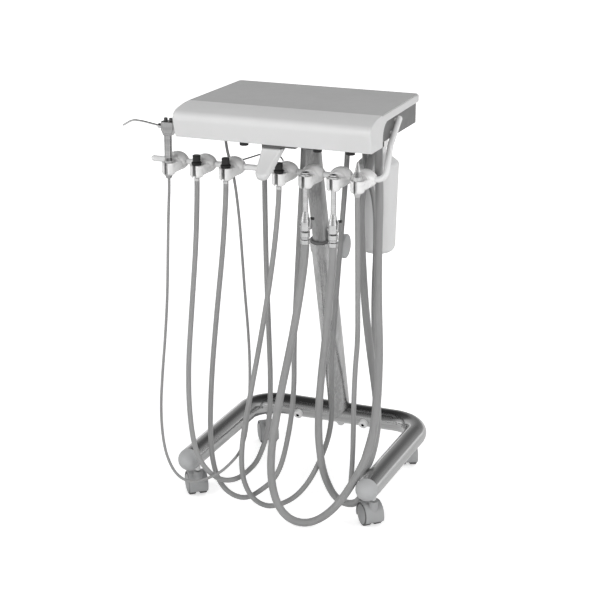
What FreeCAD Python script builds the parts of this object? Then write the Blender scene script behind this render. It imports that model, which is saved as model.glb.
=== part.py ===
"""Portable dental unit: a delivery head with seven instrument holders on a leaning, telescopic post
and a U-shaped base of bent tube on four twin-wheel casters.

Frame: millimetres, +Z up, the unit faces -Y, the origin lies on the floor midway between the casters.
"""
import FreeCAD, Part
import math
import os
import Sketcher

Vector = FreeCAD.Vector
doc = FreeCAD.newDocument("PortableDentalUnit")

# ---------------------------------------------------------------- driving dimensions (mm and degrees)
SIZES = {
    # base: one tube bent to a U, open to the front
    "base_height": 103.0,        # height of the tube's axis
    "tube_outer": 24.15,         # radius of base tube and lower post, 1 1/2 inch pipe
    "tube_wall": 2.0,
    "track_half": 203.0,         # legs' distance from the middle
    "leg_front": 200.0,          # where the legs end, in front of the origin
    "crossbar_back": 173.0,      # crossbar axis behind the origin
    "bend_radius": 70.0,
    "cap_plug": 20.0,
    "cap_lip": 2.0,
    "fit_gap": 0.05,             # radial gap of a fitted pin, plug or shaft
    "run_gap": 0.3,              # gap between faces that move past each other
    # casters
    "caster_y": 161.0,           # front stems, in front of the origin
    "rear_caster_angle": 56.0,   # rear stems' place along the bend
    "socket_outer": 8.0,
    "socket_bore": 5.5,
    "socket_drop": 1.5,          # below the tube
    "socket_top": 15.0,          # above the tube's axis
    "stem_pin_length": 34.0,
    "stem_flange": 2.0,
    "swivel_pin": 4.0,
    "swivel_pin_length": 11.0,
    "wheel_radius": 25.0,
    "wheel_inner": 5.0,          # from the middle of the caster to the tread
    "wheel_tread": 14.5,
    "wheel_dome": 5.0,
    "wheel_rim": 21.0,
    "wheel_rim_step": 1.0,
    "axle_radius": 3.0,
    "caster_trail": 16.0,
    "hood_radius": 28.5,
    "hood_wall": 2.3,
    "hood_half": 20.5,
    "hood_web": 4.5,
    "hood_skirt": 11.0,          # hood's lower edge, below the axle
    "hood_boss": 10.0,
    "hood_boss_start": 8.0,      # above the axle
    "hood_height": 59.8,
    "hood_edge": 1.8,
    # post
    "post_lean": 15.0,
    "collar_above_lock": 11.0,   # the lower tube ends this far above the lock's axis
    "collar_radius": 26.25,
    "collar_height": 24.0,
    "post_plug_start": 34.0,
    "post_plug_height": 12.0,
    "bolt_radius": 5.0,
    "bolt_head": 8.5,
    "bolt_washer": 11.0,
    "bolt_washer_height": 3.0,
    "bolt_head_height": 6.0,
    "bushing_length": 60.0,
    "bushing_flange": 3.0,
    "upper_post_radius": 19.0,
    "upper_post_start": 150.0,
    "post_end_gap": 10.8,        # along the post, from its upper end to the chassis
    "lock_height": 451.0,        # along the post
    "lock_stud": 4.0,
    "lock_boss": 9.0,
    "lock_boss_end": 32.0,
    "lock_hub": 8.0,
    "lock_disc_start": 48.5,
    "lock_disc_radius": 26.5,
    "lock_disc_height": 9.0,
    # utility inlets on the crossbar
    "inlet_radius": 10.0,
    "inlet_dip": 20.0,           # below the horizontal
    "inlet_reach": 33.0,         # from the crossbar's axis
    "inlet_bore": 3.5,
    "inlet_depth": 8.0,
    "inlet_left": 93.0,
    "inlet_right": 67.0,
    # delivery head; a name that ends in _below is a distance under the head's top
    "head_top": 876.0,
    "mat_height": 2.5,
    "mat_front": 158.0,
    "mat_inset": 1.0,
    "cover_rear": 84.0,
    "cover_half_front": 210.0,
    "cover_half_rear": 202.5,
    "cover_wall": 3.0,
    "cover_edge": 2.2,
    "brow_radius": 220.0,
    "nose_y": 234.4,
    "nose_z_below": 12.7,
    "nose_radius": 16.0,
    "chin_y": 218.6,
    "chin_z_below": 63.5,
    "cheek_y": 151.5,
    "cheek_z_below": 65.0,
    "cheek_radius": 30.0,
    "flange_z_below": 17.6,
    "chassis_bottom_below": 59.4,
    "chassis_half": 199.3,
    "chassis_front": 211.0,
    "chassis_rear": 78.0,
    "chassis_wall": 1.5,
    "bracket_half_x": 60.0,
    "bracket_half_y": 50.0,
    "bracket_plate": 5.0,
    "bracket_socket": 23.0,
    "bracket_socket_reach": 48.8,   # along the post, from the socket's lower end to the chassis
    "bracket_screw_x": 48.0,
    "bracket_screw_y": 38.0,
    "screw_radius": 2.5,
    "screw_head": 4.5,
    "screw_head_height": 3.0,
    "screw_reach": 4.0,          # above the chassis floor
    # handle
    "handle_top_half": 21.5,
    "handle_end_radius": 14.5,
    "handle_length": 76.0,
    "handle_root": 25.0,         # part of the tongue that is trimmed flush with the plate
    "handle_thickness": 17.0,
    "handle_edge": 6.0,
    "handle_y": 212.0,
    "handle_slope": 36.5,
    "handle_plate_left": 22.0,
    "handle_plate_right": 17.0,
    "handle_tab_right": 49.0,
    "handle_plate_z_below": 71.0,
    "handle_tab_z_below": 68.0,
    "handle_plate_back": 190.0,
    # flow controls
    "flow_y": 203.0,
    "flow_knob_radius": 9.0,
    "flow_knob_bottom_below": 72.0,
    "flow_knob_height": 9.0,
    "flow_stem": 3.0,
    "flow_stem_length": 17.0,
    "flute_radius": 1.4,
    "block_front": 208.0,
    "block_back": 190.0,
    "block_left": 82.0,
    "block_right": 176.0,
    "block_height": 22.0,
    # holder bar and holders
    "bar_radius": 6.25,
    "bar_y": 134.0,
    "bar_z_below": 134.0,
    "bar_left": 302.0,
    "bar_side": 207.5,
    "bar_bend": 18.0,
    "bar_rise": 66.0,            # from the bar up to the foot of its inclined end
    "bar_step": 30.0,            # the same, to the rear
    "bar_upper_bend": 30.0,
    "bar_upper_rise": 108.0,     # from the bar up to the inclined end's tip
    "bar_upper_step": 80.0,
    "bar_stud": 4.0,
    "cup_y": 168.0,
    "cup_radius": 14.5,
    "cup_bore": 9.0,
    "cup_slot": 9.0,
    "cup_top_below": 131.0,
    "cup_bottom_below": 157.0,
    "cup_round": 7.0,            # of the cup's lower edge
    "hub_offset": 4.0,
    "hub_half": 22.0,
    "hub_radius": 20.0,
    "hub_end": 9.0,
    "neck_drop": 9.0,
    "web_spread": 7.0,           # from the hub's middle to a web's axis
    "web_drop": 2.5,             # below the bar's axis
    "web_radius": 15.0,
    # instruments
    "connector_radius": 4.8,
    "ferrule_radius": 5.6,
    "ferrule_top_below": 158.0,
    "hose_top_below": 164.0,     # where the thin hoses meet their instruments
    "cap_flange": 11.0,
    "cap_flange_height": 8.0,
    "cap_flange_flare": 5.0,
    "cap_radius": 8.2,
    "cap_top_below": 110.0,
    "syringe_barrel": 8.0,
    "syringe_collar": 10.0,
    "syringe_collar_height": 4.0,
    "syringe_collar_slope": 6.0,
    "syringe_head_bottom_below": 74.0,
    "syringe_head_height": 30.0,
    "syringe_head_x": 27.0,
    "syringe_head_y": 20.0,
    "syringe_head_shift": 2.0,
    "syringe_head_taper": 11.0,  # height over which the head narrows to the barrel
    "syringe_head_edge": 2.5,
    "button_radius": 4.0,
    "button_spread": 6.0,
    "button_bottom_below": 51.0,
    "button_height": 13.0,
    "button_travel": 2.5,
    "nozzle_z_below": 57.0,
    "nozzle_tilt": 9.0,
    "nozzle_pin": 2.5,
    "nozzle_pin_length": 5.0,
    "nozzle_nut": 5.0,
    "nozzle_nut_length": 9.0,
    "nozzle_tube": 2.0,
    "nozzle_straight": 48.0,
    "nozzle_bend_reach": 69.1,
    "nozzle_bend_rise": 8.3,
    "nozzle_tip_reach": 90.9,
    "nozzle_tip_drop": 4.6,
    "evac_barrel": 5.5,
    "evac_bore": 4.0,
    "evac_flange": 10.5,
    "evac_flange_height": 4.0,
    "evac_mouth": 8.0,
    "evac_top_below": 124.0,
    "evac_valve": 10.0,
    "evac_taper": 22.0,
    "evac_valve_top_below": 226.0,
    "evac_valve_bottom_below": 244.0,
    "evac_rotor": 5.4,
    "lever_thickness": 2.5,
    "lever_reach": 17.0,
    "lever_half": 2.5,
    "lever_grip": 3.0,
    "lever_grip_length": 7.0,
    "adapter_radius": 10.0,
    "adapter_band": 9.0,
    "adapter_groove": 8.5,
    "adapter_groove_width": 6.5,
    "adapter_groove_slope": 1.5,
    "adapter_neck": 3.0,
    "adapter_bottom_below": 272.0,
    "ejector_tip_z_below": 94.0,
    "ejector_tip": 2.2,
    "ejector_cone": 6.5,
    "ejector_cone_z_below": 113.0,
    "ejector_shoulder": 10.2,
    "ejector_shoulder_height": 8.0,
    "ejector_body": 7.0,
    # water bottle
    "bottle_x": 146.0,
    "bottle_bottom_below": 322.0,
    "bottle_foot": 37.3,
    "bottle_foot_corner": 16.0,
    "bottle_radius": 42.5,
    "bottle_shoulder_below": 131.0,
    "bottle_shoulder_corner": 8.0,
    "bottle_neck": 16.0,
    "bottle_neck_start_below": 110.0,
    "bottle_neck_top_below": 86.0,
    "bottle_wall": 1.5,
    "bottle_cap_radius": 19.5,
    "bottle_cap_bottom_below": 98.0,
    "bottle_cap_top_below": 64.0,
    "bottle_cap_stud": 12.0,
    "pickup_radius": 3.0,
    "pickup_bottom_below": 301.0,
    # hoses
    "gland_drop": 16.6,
    "gland_rim": 2.5,
    "gland_spigot": 6.0,
    "signal_radius": 1.5,
    "barb_radius": 2.2,
    "barb_length": 8.0,
}
HOLDER_X = (-251.6, -187.7, -122.7, -5.7, 51.7, 111.5, 162.0)    # cup centres, left to right
FLOW_KNOB_X = (-65.5, 91.2, 159.8)
# Names and headings (degrees, 0 = wheels trail towards -Y) of the four casters.
CASTERS = {"FL": 219.0, "FR": 224.0, "RL": 215.0, "RR": 208.0}
INSTRUMENTS = ("syringe", "handpiece", "handpiece", "handpiece", "evacuator", "evacuator",
               "saliva ejector")
KNOB_FLUTES = 12
BAR_STUDS = {"low": 0.45, "high": 0.95}       # shares of the bar's inclined end

# Hose routes, from the instrument down to the floor side and up to the head.
HOSES = {
    1: (3.0, [
        (-251.6, -168, 712), (-251.6, -168, 690), (-255, -169, 630), (-257, -172, 545),
        (-258, -177, 459), (-262, -183, 374), (-267, -192, 289), (-267, -206, 206),
        (-252, -224, 132), (-226, -239, 92), (-199, -246, 75), (-170, -245, 73), (-140, -237, 83),
        (-113, -214, 103), (-95, -175, 140), (-89, -140, 213), (-94, -121, 296), (-101, -113, 381),
        (-110, -109, 466), (-118, -103, 549), (-128, -95, 635), (-142, -89, 718), (-161, -85, 770),
        (-161, -85, 800)]),
    2: (5.5, [
        (-187.7, -168, 712), (-187.7, -168, 690), (-190, -174, 578), (-195, -190, 444),
        (-197, -211, 309), (-187, -227, 204), (-171, -233, 134), (-149, -227, 95), (-124, -212, 75),
        (-97, -193, 71), (-74, -174, 82), (-56, -156, 111), (-45, -139, 170), (-46, -121, 263),
        (-57, -106, 394), (-66, -96, 528), (-71, -89, 664), (-74, -83, 772), (-74, -83, 800)]),
    3: (5.5, [
        (-122.7, -168, 712), (-122.7, -168, 690), (-131, -169, 574), (-147, -170, 434),
        (-160, -173, 296), (-164, -178, 178), (-158, -183, 104), (-142, -185, 59), (-115, -185, 33),
        (-80, -183, 28), (-46, -178, 42), (-16, -169, 74), (1, -154, 136), (7, -135, 241),
        (6, -118, 379), (9, -107, 519), (12, -97, 660), (16, -90, 772), (16, -90, 800)]),
    4: (5.5, [
        (-5.7, -168, 712), (-5.7, -168, 690), (-17, -170, 571), (-38, -175, 429), (-62, -184, 288),
        (-79, -195, 167), (-80, -202, 90), (-63, -203, 44), (-33, -200, 22), (1, -194, 26),
        (38, -183, 53), (72, -166, 102), (91, -138, 197), (91, -108, 330), (89, -93, 455),
        (95, -84, 580), (101, -78, 690), (105, -73, 772), (105, -73, 800)]),
    5: (8.25, [
        (51.7, -168, 604), (51.7, -168, 575), (32, -179, 422), (3, -198, 258), (-8, -216, 146),
        (1, -226, 74), (25, -231, 29), (62, -231, 13), (102, -220, 22), (138, -202, 51),
        (165, -182, 99), (183, -162, 172), (196, -142, 281), (199, -122, 430), (192, -108, 612),
        (181, -100, 770), (181, -100, 800)]),
    6: (8.0, [
        (111.5, -168, 604), (111.5, -168, 575), (96, -159, 430), (76, -150, 275), (64, -141, 175),
        (60, -133, 118), (60, -128, 82), (65, -126, 58), (80, -126, 39), (102, -127, 29),
        (126, -130, 29), (148, -134, 39), (162, -137, 58), (167, -138, 83), (168, -136, 118),
        (170, -131, 169), (172, -120, 243), (171, -106, 350), (167, -92, 480), (163, -81, 630),
        (160, -74, 770), (160, -74, 800)]),
    7: (5.3, [
        (162, -168, 712), (162, -168, 690), (161, -166, 590), (160, -163, 470), (159, -161, 355),
        (157, -159, 262), (155, -158, 196), (152, -157, 153), (149, -155, 125), (146, -150, 108),
        (143, -141, 95), (141, -127, 88), (141, -110, 88), (143, -96, 95), (146, -86, 108),
        (150, -80, 126), (154, -78, 154), (159, -75, 198), (163, -71, 266), (160, -67, 370),
        (151, -64, 510), (143, -63, 655), (137, -63, 772), (137, -63, 800)]),
}
# The thin tube that links the valves in holders 3 and 4: x, then behind and above the bar's axis.
SIGNAL_ROUTE = [
    (-98, 0, 15), (-84, 2, 20), (-68, 4, 26), (-51, 5, 32), (-36, 5, 34), (-24, 4, 32),
    (-16, 2, 27), (-11, 0, 21)]


# ---------------------------------------------------------------- sizes bound to the spreadsheet
class Size:
    """A number together with the spreadsheet expression that gives it."""

    def __init__(self, value, text):
        self.value = float(value)
        self.text = text

    def __add__(self, other):
        return combine(self, "+", other)

    def __radd__(self, other):
        return combine(other, "+", self)

    def __sub__(self, other):
        return combine(self, "-", other)

    def __rsub__(self, other):
        return combine(other, "-", self)

    def __mul__(self, other):
        return combine(self, "*", other)

    def __rmul__(self, other):
        return combine(other, "*", self)

    def __truediv__(self, other):
        return combine(self, "/", other)

    def __neg__(self):
        return combine(0, "-", self)

    def __float__(self):
        return self.value


OPERATIONS = {
    "+": lambda a, b: a + b,
    "-": lambda a, b: a - b,
    "*": lambda a, b: a * b,
    "/": lambda a, b: a / b,
}


def size_of(number):
    return number if isinstance(number, Size) else Size(number, repr(float(number)))


def combine(first, sign, second):
    first, second = size_of(first), size_of(second)
    value = OPERATIONS[sign](first.value, second.value)
    return Size(value, f"({first.text} {sign} {second.text})")


def sine(angle):
    return Size(math.sin(math.radians(float(angle))), f"sin({angle.text} * 1 deg)")


def cosine(angle):
    return Size(math.cos(math.radians(float(angle))), f"cos({angle.text} * 1 deg)")


def root(number):
    return Size(math.sqrt(float(number)), f"sqrt({number.text})")


class Sizes:
    """Gives each cell of the sheet as a Size, by its alias."""

    def __init__(self, table):
        sheet = doc.addObject("Spreadsheet::Sheet", "Sizes")
        for row, (alias, value) in enumerate(table.items(), start=1):
            sheet.set(f"A{row}", alias)
            sheet.set(f"B{row}", str(value))
            sheet.setAlias(f"B{row}", alias)
            setattr(self, alias, Size(value, f"Sizes.{alias}"))


mm = Sizes(SIZES)
for alias in SIZES:
    if alias.endswith("_below"):
        setattr(mm, alias.removesuffix("_below"), mm.head_top - getattr(mm, alias))
mm.post_climb = (mm.chassis_bottom - mm.base_height) / cosine(mm.post_lean)
mm.upper_post_end = mm.post_climb - mm.post_end_gap
mm.bracket_socket_start = mm.post_climb - mm.bracket_socket_reach
mm.lower_post_length = mm.lock_height + mm.collar_above_lock
doc.recompute()


def bind(thing, path, size):
    """Ties a property to the sheet when its size comes from there."""
    if isinstance(size, Size):
        thing.setExpression(path, size.text)


NODES = {}


def node(label, thing):
    """Registers a finished sub-part under its node name."""
    thing.Label = label
    NODES[label] = thing
    return thing


# ---------------------------------------------------------------- placing
def turn_to(direction):
    """Rotation that carries +Z to a direction."""
    return FreeCAD.Rotation(Vector(0, 0, 1), Vector(*[float(part) for part in direction]))


def place(thing, x=0, y=0, z=0, rotation=None):
    base = Vector(float(x), float(y), float(z))
    thing.Placement = FreeCAD.Placement(base, rotation or FreeCAD.Rotation())
    for axis, value in (("x", x), ("y", y), ("z", z)):
        bind(thing, f"Placement.Base.{axis}", value)
    return thing


POST_TURN = FreeCAD.Rotation(Vector(1, 0, 0), float(mm.post_lean))


def place_on_post(thing, along=0):
    """Places a piece in the post's frame: its Z runs up the post from the crossbar's axis."""
    y = mm.crossbar_back - along * sine(mm.post_lean)
    height = mm.base_height + along * cosine(mm.post_lean)
    place(thing, 0, y, height, POST_TURN)
    thing.setExpression("Placement.Rotation.Angle", f"{mm.post_lean.text} * 1 deg")
    return thing


# ---------------------------------------------------------------- sketches and features
def new_body(name):
    return doc.addObject("PartDesign::Body", name)


def new_sketch(body, role, offset=0):
    """A sketch on one of the body's origin planes, moved along the plane's normal."""
    sketch = body.newObject("Sketcher::SketchObject", body.Name + "_sketch")
    plane = [item for item in body.Origin.OriginFeatures if item.Role == role][0]
    sketch.AttachmentSupport = [(plane, "")]
    sketch.MapMode = "FlatFace"
    sketch.AttachmentOffset = FreeCAD.Placement(Vector(0, 0, float(offset)), FreeCAD.Rotation())
    bind(sketch, "AttachmentOffset.Base.z", offset)
    return sketch


def fix_point(sketch, geometry, position, x, y):
    for kind, value in (("DistanceX", x), ("DistanceY", y)):
        index = sketch.addConstraint(
            Sketcher.Constraint(kind, -1, 1, geometry, position, float(value)))
        bind(sketch, f"Constraints[{index}]", value)


def add_circle(sketch, x, y, radius):
    centre = Vector(float(x), float(y), 0)
    index = sketch.addGeometry(Part.Circle(centre, Vector(0, 0, 1), float(radius)), False)
    fix_point(sketch, index, 3, x, y)
    datum = sketch.addConstraint(Sketcher.Constraint("Radius", index, float(radius)))
    bind(sketch, f"Constraints[{datum}]", radius)


class Bend:
    """An outline's edge that is an arc: radius > 0 turns left along the outline, < 0 right."""

    def __init__(self, radius):
        self.radius = radius


def add_arc(sketch, start, end, radius):
    """Adds an arc of under half a turn; gives its index and the positions of start and end."""
    chord = end - start
    half = chord.Length / 2
    size = abs(float(radius))
    side = 1 if float(radius) > 0 else -1
    normal = Vector(-chord.y, chord.x, 0).normalize()
    centre = start + chord * 0.5 + normal * (side * math.sqrt(max(size * size - half * half, 0)))
    first, last = (start, end) if side > 0 else (end, start)
    angles = [math.atan2(point.y - centre.y, point.x - centre.x) for point in (first, last)]
    circle = Part.Circle(centre, Vector(0, 0, 1), size)
    index = sketch.addGeometry(Part.ArcOfCircle(circle, angles[0], angles[1]), False)
    return (index, 1, 2) if side > 0 else (index, 2, 1)


def add_outline(sketch, outline, closed=True):
    """Draws an outline of points (x, y), rounded corners (x, y, radius) and Bend edges."""
    corners, bends = [], {}
    for item in outline:
        if isinstance(item, Bend):
            bends[len(corners) - 1] = item.radius
        else:
            corners.append(item)
    count = len(corners)
    spots = [Vector(float(corner[0]), float(corner[1]), 0) for corner in corners]
    enter, leave = list(spots), list(spots)
    for i, corner in enumerate(corners):
        if len(corner) < 3:
            continue
        back = (spots[i - 1] - spots[i]).normalize()
        ahead = (spots[(i + 1) % count] - spots[i]).normalize()
        trim = float(corner[2]) / math.tan(back.getAngle(ahead) / 2)
        enter[i] = spots[i] + back * trim
        leave[i] = spots[i] + ahead * trim
    edges = []
    for i in range(count if closed else count - 1):
        start, end = leave[i], enter[(i + 1) % count]
        if i in bends:
            edges.append(add_arc(sketch, start, end, bends[i]))
        else:
            index = sketch.addGeometry(Part.LineSegment(start, end), False)
            edges.append((index, 1, 2))
    for i, corner in enumerate(corners):
        before = edges[i - 1] if closed or i > 0 else None
        after = edges[i] if closed or i < count - 1 else None
        if len(corner) < 3:
            if before and after:
                sketch.addConstraint(Sketcher.Constraint(
                    "Coincident", before[0], before[2], after[0], after[1]))
            if after:
                fix_point(sketch, after[0], after[1], corner[0], corner[1])
            else:
                fix_point(sketch, before[0], before[2], corner[0], corner[1])
            continue
        round_corner(sketch, before, after, corner, enter[i], leave[i])
    for i, radius in bends.items():
        size = abs(float(radius))
        datum = sketch.addConstraint(Sketcher.Constraint("Radius", edges[i][0], size))
        bind(sketch, f"Constraints[{datum}]", radius if float(radius) > 0 else -radius)


def round_corner(sketch, before, after, corner, start, end):
    """Joins two straight edges by a tangent arc, held by the corner point they would meet in."""
    spot = Vector(float(corner[0]), float(corner[1]), 0)
    left = (start - spot).cross(end - spot).z < 0
    radius = corner[2]
    index, first, last = add_arc(sketch, start, end, float(radius) if left else -float(radius))
    sketch.addConstraint(Sketcher.Constraint("Tangent", before[0], before[2], index, first))
    sketch.addConstraint(Sketcher.Constraint("Tangent", index, last, after[0], after[1]))
    datum = sketch.addConstraint(Sketcher.Constraint("Radius", index, float(radius)))
    bind(sketch, f"Constraints[{datum}]", radius)
    point = sketch.addGeometry(Part.Point(spot), True)
    sketch.addConstraint(Sketcher.Constraint("PointOnObject", point, 1, before[0]))
    sketch.addConstraint(Sketcher.Constraint("PointOnObject", point, 1, after[0]))
    fix_point(sketch, point, 1, corner[0], corner[1])


def rectangle(left, bottom, right, top, radius=None):
    corners = [(left, bottom), (right, bottom), (right, top), (left, top)]
    return corners if radius is None else [(x, y, radius) for x, y in corners]


def extrude(body, kind, sketch, length, symmetric=False, reverse=False):
    feature = body.newObject("PartDesign::" + kind, f"{body.Name}_{kind}")
    feature.Profile = sketch
    feature.Length = float(length)
    bind(feature, "Length", length)
    if symmetric:
        feature.SideType = "Symmetric"
    feature.Reversed = reverse
    return feature


def pad(body, role, offset, length, outlines=(), circles=(), symmetric=False, reverse=False,
        kind="Pad"):
    sketch = new_sketch(body, role, offset)
    for outline in outlines:
        add_outline(sketch, outline)
    for circle in circles:
        add_circle(sketch, *circle)
    return extrude(body, kind, sketch, length, symmetric, reverse)


def pocket(body, role, offset, length, **options):
    return pad(body, role, offset, length, kind="Pocket", **options)


def turned(name, outline, x=0, y=0, z=0, direction=(0, 0, 1)):
    """A piece turned about its own Z axis from an outline of (radius, height) points."""
    body = new_body(name)
    sketch = new_sketch(body, "XZ_Plane")
    add_outline(sketch, outline)
    revolution = body.newObject("PartDesign::Revolution", name + "_turned")
    revolution.Profile = sketch
    revolution.ReferenceAxis = (sketch, ["V_Axis"])
    revolution.Angle = 360
    return place(body, x, y, z, turn_to(direction))


def fillet_edges(body, radius, wanted):
    """Fillets the edges of the body's tip whose middle point is wanted."""
    doc.recompute()
    tip = body.Tip
    names = []
    for number, edge in enumerate(tip.Shape.Edges, start=1):
        middle = edge.valueAt((edge.FirstParameter + edge.LastParameter) / 2)
        if wanted(edge, middle):
            names.append(f"Edge{number}")
    fillet = body.newObject("PartDesign::Fillet", body.Name + "_fillet")
    fillet.Base = (tip, names)
    fillet.Radius = float(radius)
    bind(fillet, "Radius", radius)
    return fillet


def cylinder(name, radius, height, x=0, y=0, z=0, direction=(0, 0, 1)):
    thing = doc.addObject("Part::Cylinder", name)
    thing.Radius, thing.Height = float(radius), float(height)
    bind(thing, "Radius", radius)
    bind(thing, "Height", height)
    return place(thing, x, y, z, turn_to(direction))


def cone(name, start_radius, end_radius, start, reach):
    """A cone from a start point along the reach, as long as the reach."""
    thing = doc.addObject("Part::Cone", name)
    length = root(reach[0] * reach[0] + reach[1] * reach[1] + reach[2] * reach[2])
    for path, size in (("Radius1", start_radius), ("Radius2", end_radius), ("Height", length)):
        setattr(thing, path, float(size))
        bind(thing, path, size)
    return place(thing, *start, turn_to(reach))


def box(name, left, right, front, back, bottom, top):
    thing = doc.addObject("Part::Box", name)
    for side, value in (("Length", right - left), ("Width", back - front), ("Height", top - bottom)):
        setattr(thing, side, float(value))
        bind(thing, side, value)
    return place(thing, left, front, bottom)


def cut(name, base, tool):
    thing = doc.addObject("Part::Cut", name)
    thing.Base, thing.Tool = base, tool
    return thing


def fuse(name, things):
    thing = doc.addObject("Part::MultiFuse", name)
    thing.Shapes = things
    thing.Refine = True
    return thing


def group(name, things):
    """Separate solids of one node."""
    thing = doc.addObject("Part::Compound", name)
    thing.Links = things
    return node(name, thing)


# ---------------------------------------------------------------- bent rods and hoses
ROUTE_SHARE = 0.45               # share of the shorter run that a bend's tangent takes


def bend_radii(points, radius=None):
    """The bend radius at each inner point of a route."""
    radii = []
    for before, here, after in zip(points, points[1:], points[2:]):
        turn = (here - before).getAngle(after - here)
        shorter = min((here - before).Length, (after - here).Length)
        radii.append(radius or ROUTE_SHARE * shorter / math.tan(turn / 2))
    return radii


def route_wire(points, radii):
    """Straight runs joined by tangent arcs."""
    edges = []
    at = points[0]
    for before, here, after, radius in zip(points, points[1:], points[2:], radii):
        inward = (before - here).normalize()
        outward = (after - here).normalize()
        angle = inward.getAngle(outward)
        trim = radius / math.tan(angle / 2)
        start = here + inward * trim
        end = here + outward * trim
        bisector = (inward + outward).normalize()
        middle = here + bisector * (radius / math.sin(angle / 2) - radius)
        if (start - at).Length > 1e-6:
            edges.append(Part.LineSegment(at, start).toShape())
        edges.append(Part.Arc(start, middle, end).toShape())
        at = end
    edges.append(Part.LineSegment(at, points[-1]).toShape())
    return Part.Wire(edges)


def rod_shape(points, radii, radius):
    wire = route_wire(points, radii)
    section = Part.Circle(points[0], (points[1] - points[0]).normalize(), float(radius))
    ring = Part.Wire([section.toShape()])
    return wire.makePipeShell([ring], True, False, 2)


def to_vector(spot):
    return Vector(*[float(part) for part in spot])


def rod(name, points, radii, radius):
    thing = doc.addObject("Part::Feature", name)
    thing.Shape = rod_shape(points, radii, radius)
    return thing


# ---------------------------------------------------------------- base
def build_base_tube():
    """The bent tube with four caster sockets welded in and two holes for the post's bolt."""
    body = new_body("base_pipe")
    spine = new_sketch(body, "XY_Plane")
    add_outline(spine, [
        (-mm.track_half, -mm.leg_front),
        (-mm.track_half, mm.crossbar_back, mm.bend_radius),
        (mm.track_half, mm.crossbar_back, mm.bend_radius),
        (mm.track_half, -mm.leg_front)], closed=False)
    section = new_sketch(body, "XZ_Plane", mm.leg_front)
    add_circle(section, -mm.track_half, 0, mm.tube_outer)
    add_circle(section, -mm.track_half, 0, mm.tube_outer - mm.tube_wall)
    pipe = body.newObject("PartDesign::AdditivePipe", "base_pipe_bent")
    pipe.Profile = section
    pipe.Spine = (spine, [])
    pocket(body, "XY_Plane", 0, mm.tube_outer * 2,
           circles=[(x, y, mm.socket_outer) for x, y in stem_places()])
    place(body, 0, 0, mm.base_height)
    bottom = mm.base_height - mm.tube_outer - mm.socket_drop
    sockets = []
    for name, (x, y) in zip(CASTERS, stem_places()):
        sockets.append(turned(f"socket_{name}", [
            (mm.socket_bore, 0), (mm.socket_outer, 0),
            (mm.socket_outer, mm.tube_outer + mm.socket_drop + mm.socket_top),
            (mm.socket_bore, mm.tube_outer + mm.socket_drop + mm.socket_top)], x, y, bottom))
    welded = fuse("base_welded", [body] + sockets)
    drill = cylinder("bolt_hole", mm.bolt_radius + mm.run_gap, mm.tube_outer * 3)
    place_on_post(drill, -mm.tube_outer * 1.5)
    node("base_tube", cut("base_tube", welded, drill))


def stem_places():
    """The casters' stems: front left and right on the legs, rear left and right on the bends."""
    bend_x = mm.track_half - mm.bend_radius
    bend_y = mm.crossbar_back - mm.bend_radius
    rear_x = bend_x + mm.bend_radius * cosine(mm.rear_caster_angle)
    rear_y = bend_y + mm.bend_radius * sine(mm.rear_caster_angle)
    return [(-mm.track_half, -mm.caster_y), (mm.track_half, -mm.caster_y),
            (-rear_x, rear_y), (rear_x, rear_y)]


def build_end_caps():
    radius = mm.tube_outer
    bore = mm.tube_outer - mm.tube_wall - mm.fit_gap
    caps = []
    for side, x in (("left", -mm.track_half), ("right", mm.track_half)):
        outline = [(0, -mm.cap_plug), (bore, -mm.cap_plug), (bore, 0), (radius, 0), (radius, mm.cap_lip),
                   Bend(radius), (0, mm.cap_lip + radius)]
        caps.append(turned(f"end_cap_{side}", outline, x, -mm.leg_front, mm.base_height, (0, -1, 0)))
    group("end_caps", caps)


def build_utility_inlets():
    """Bosses for the air and water lines, saddled on the crossbar, low at the front."""
    crossbar = cylinder("crossbar_solid", mm.tube_outer, mm.track_half * 2,
                        -mm.track_half, mm.crossbar_back, mm.base_height, (1, 0, 0))
    inlets = []
    for name, x in (("air", -mm.inlet_left), ("water", mm.inlet_right)):
        boss = turned(f"{name}_boss", [
            (0, mm.tube_outer / 2), (mm.inlet_radius, mm.tube_outer / 2),
            (mm.inlet_radius, mm.inlet_reach, 1.5), (mm.inlet_bore, mm.inlet_reach),
            (mm.inlet_bore, mm.inlet_reach - mm.inlet_depth), (0, mm.inlet_reach - mm.inlet_depth)],
            x, mm.crossbar_back, mm.base_height, (0, -cosine(mm.inlet_dip), -sine(mm.inlet_dip)))
        inlets.append(cut(f"{name}_inlet", boss, crossbar))
    group("utility_inlets", inlets)


# ---------------------------------------------------------------- casters
def caster_turn(heading):
    return FreeCAD.Rotation(Vector(0, 0, 1), heading)


def build_caster_stems():
    flange = mm.socket_outer
    pin = mm.socket_bore - mm.fit_gap
    drop = mm.base_height - mm.tube_outer - mm.socket_drop
    neck_bottom = mm.hood_height + mm.run_gap
    stems = []
    for name, (x, y) in zip(CASTERS, stem_places()):
        stems.append(turned(f"stem_{name}", [
            (0, neck_bottom - mm.swivel_pin_length), (mm.swivel_pin, neck_bottom - mm.swivel_pin_length),
            (mm.swivel_pin, neck_bottom), (pin, neck_bottom), (pin, drop - mm.stem_flange),
            (flange, drop - mm.stem_flange), (flange, drop), (pin, drop),
            (pin, drop + mm.stem_pin_length), (0, drop + mm.stem_pin_length)], x, y))
    group("caster_stems", stems)


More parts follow.
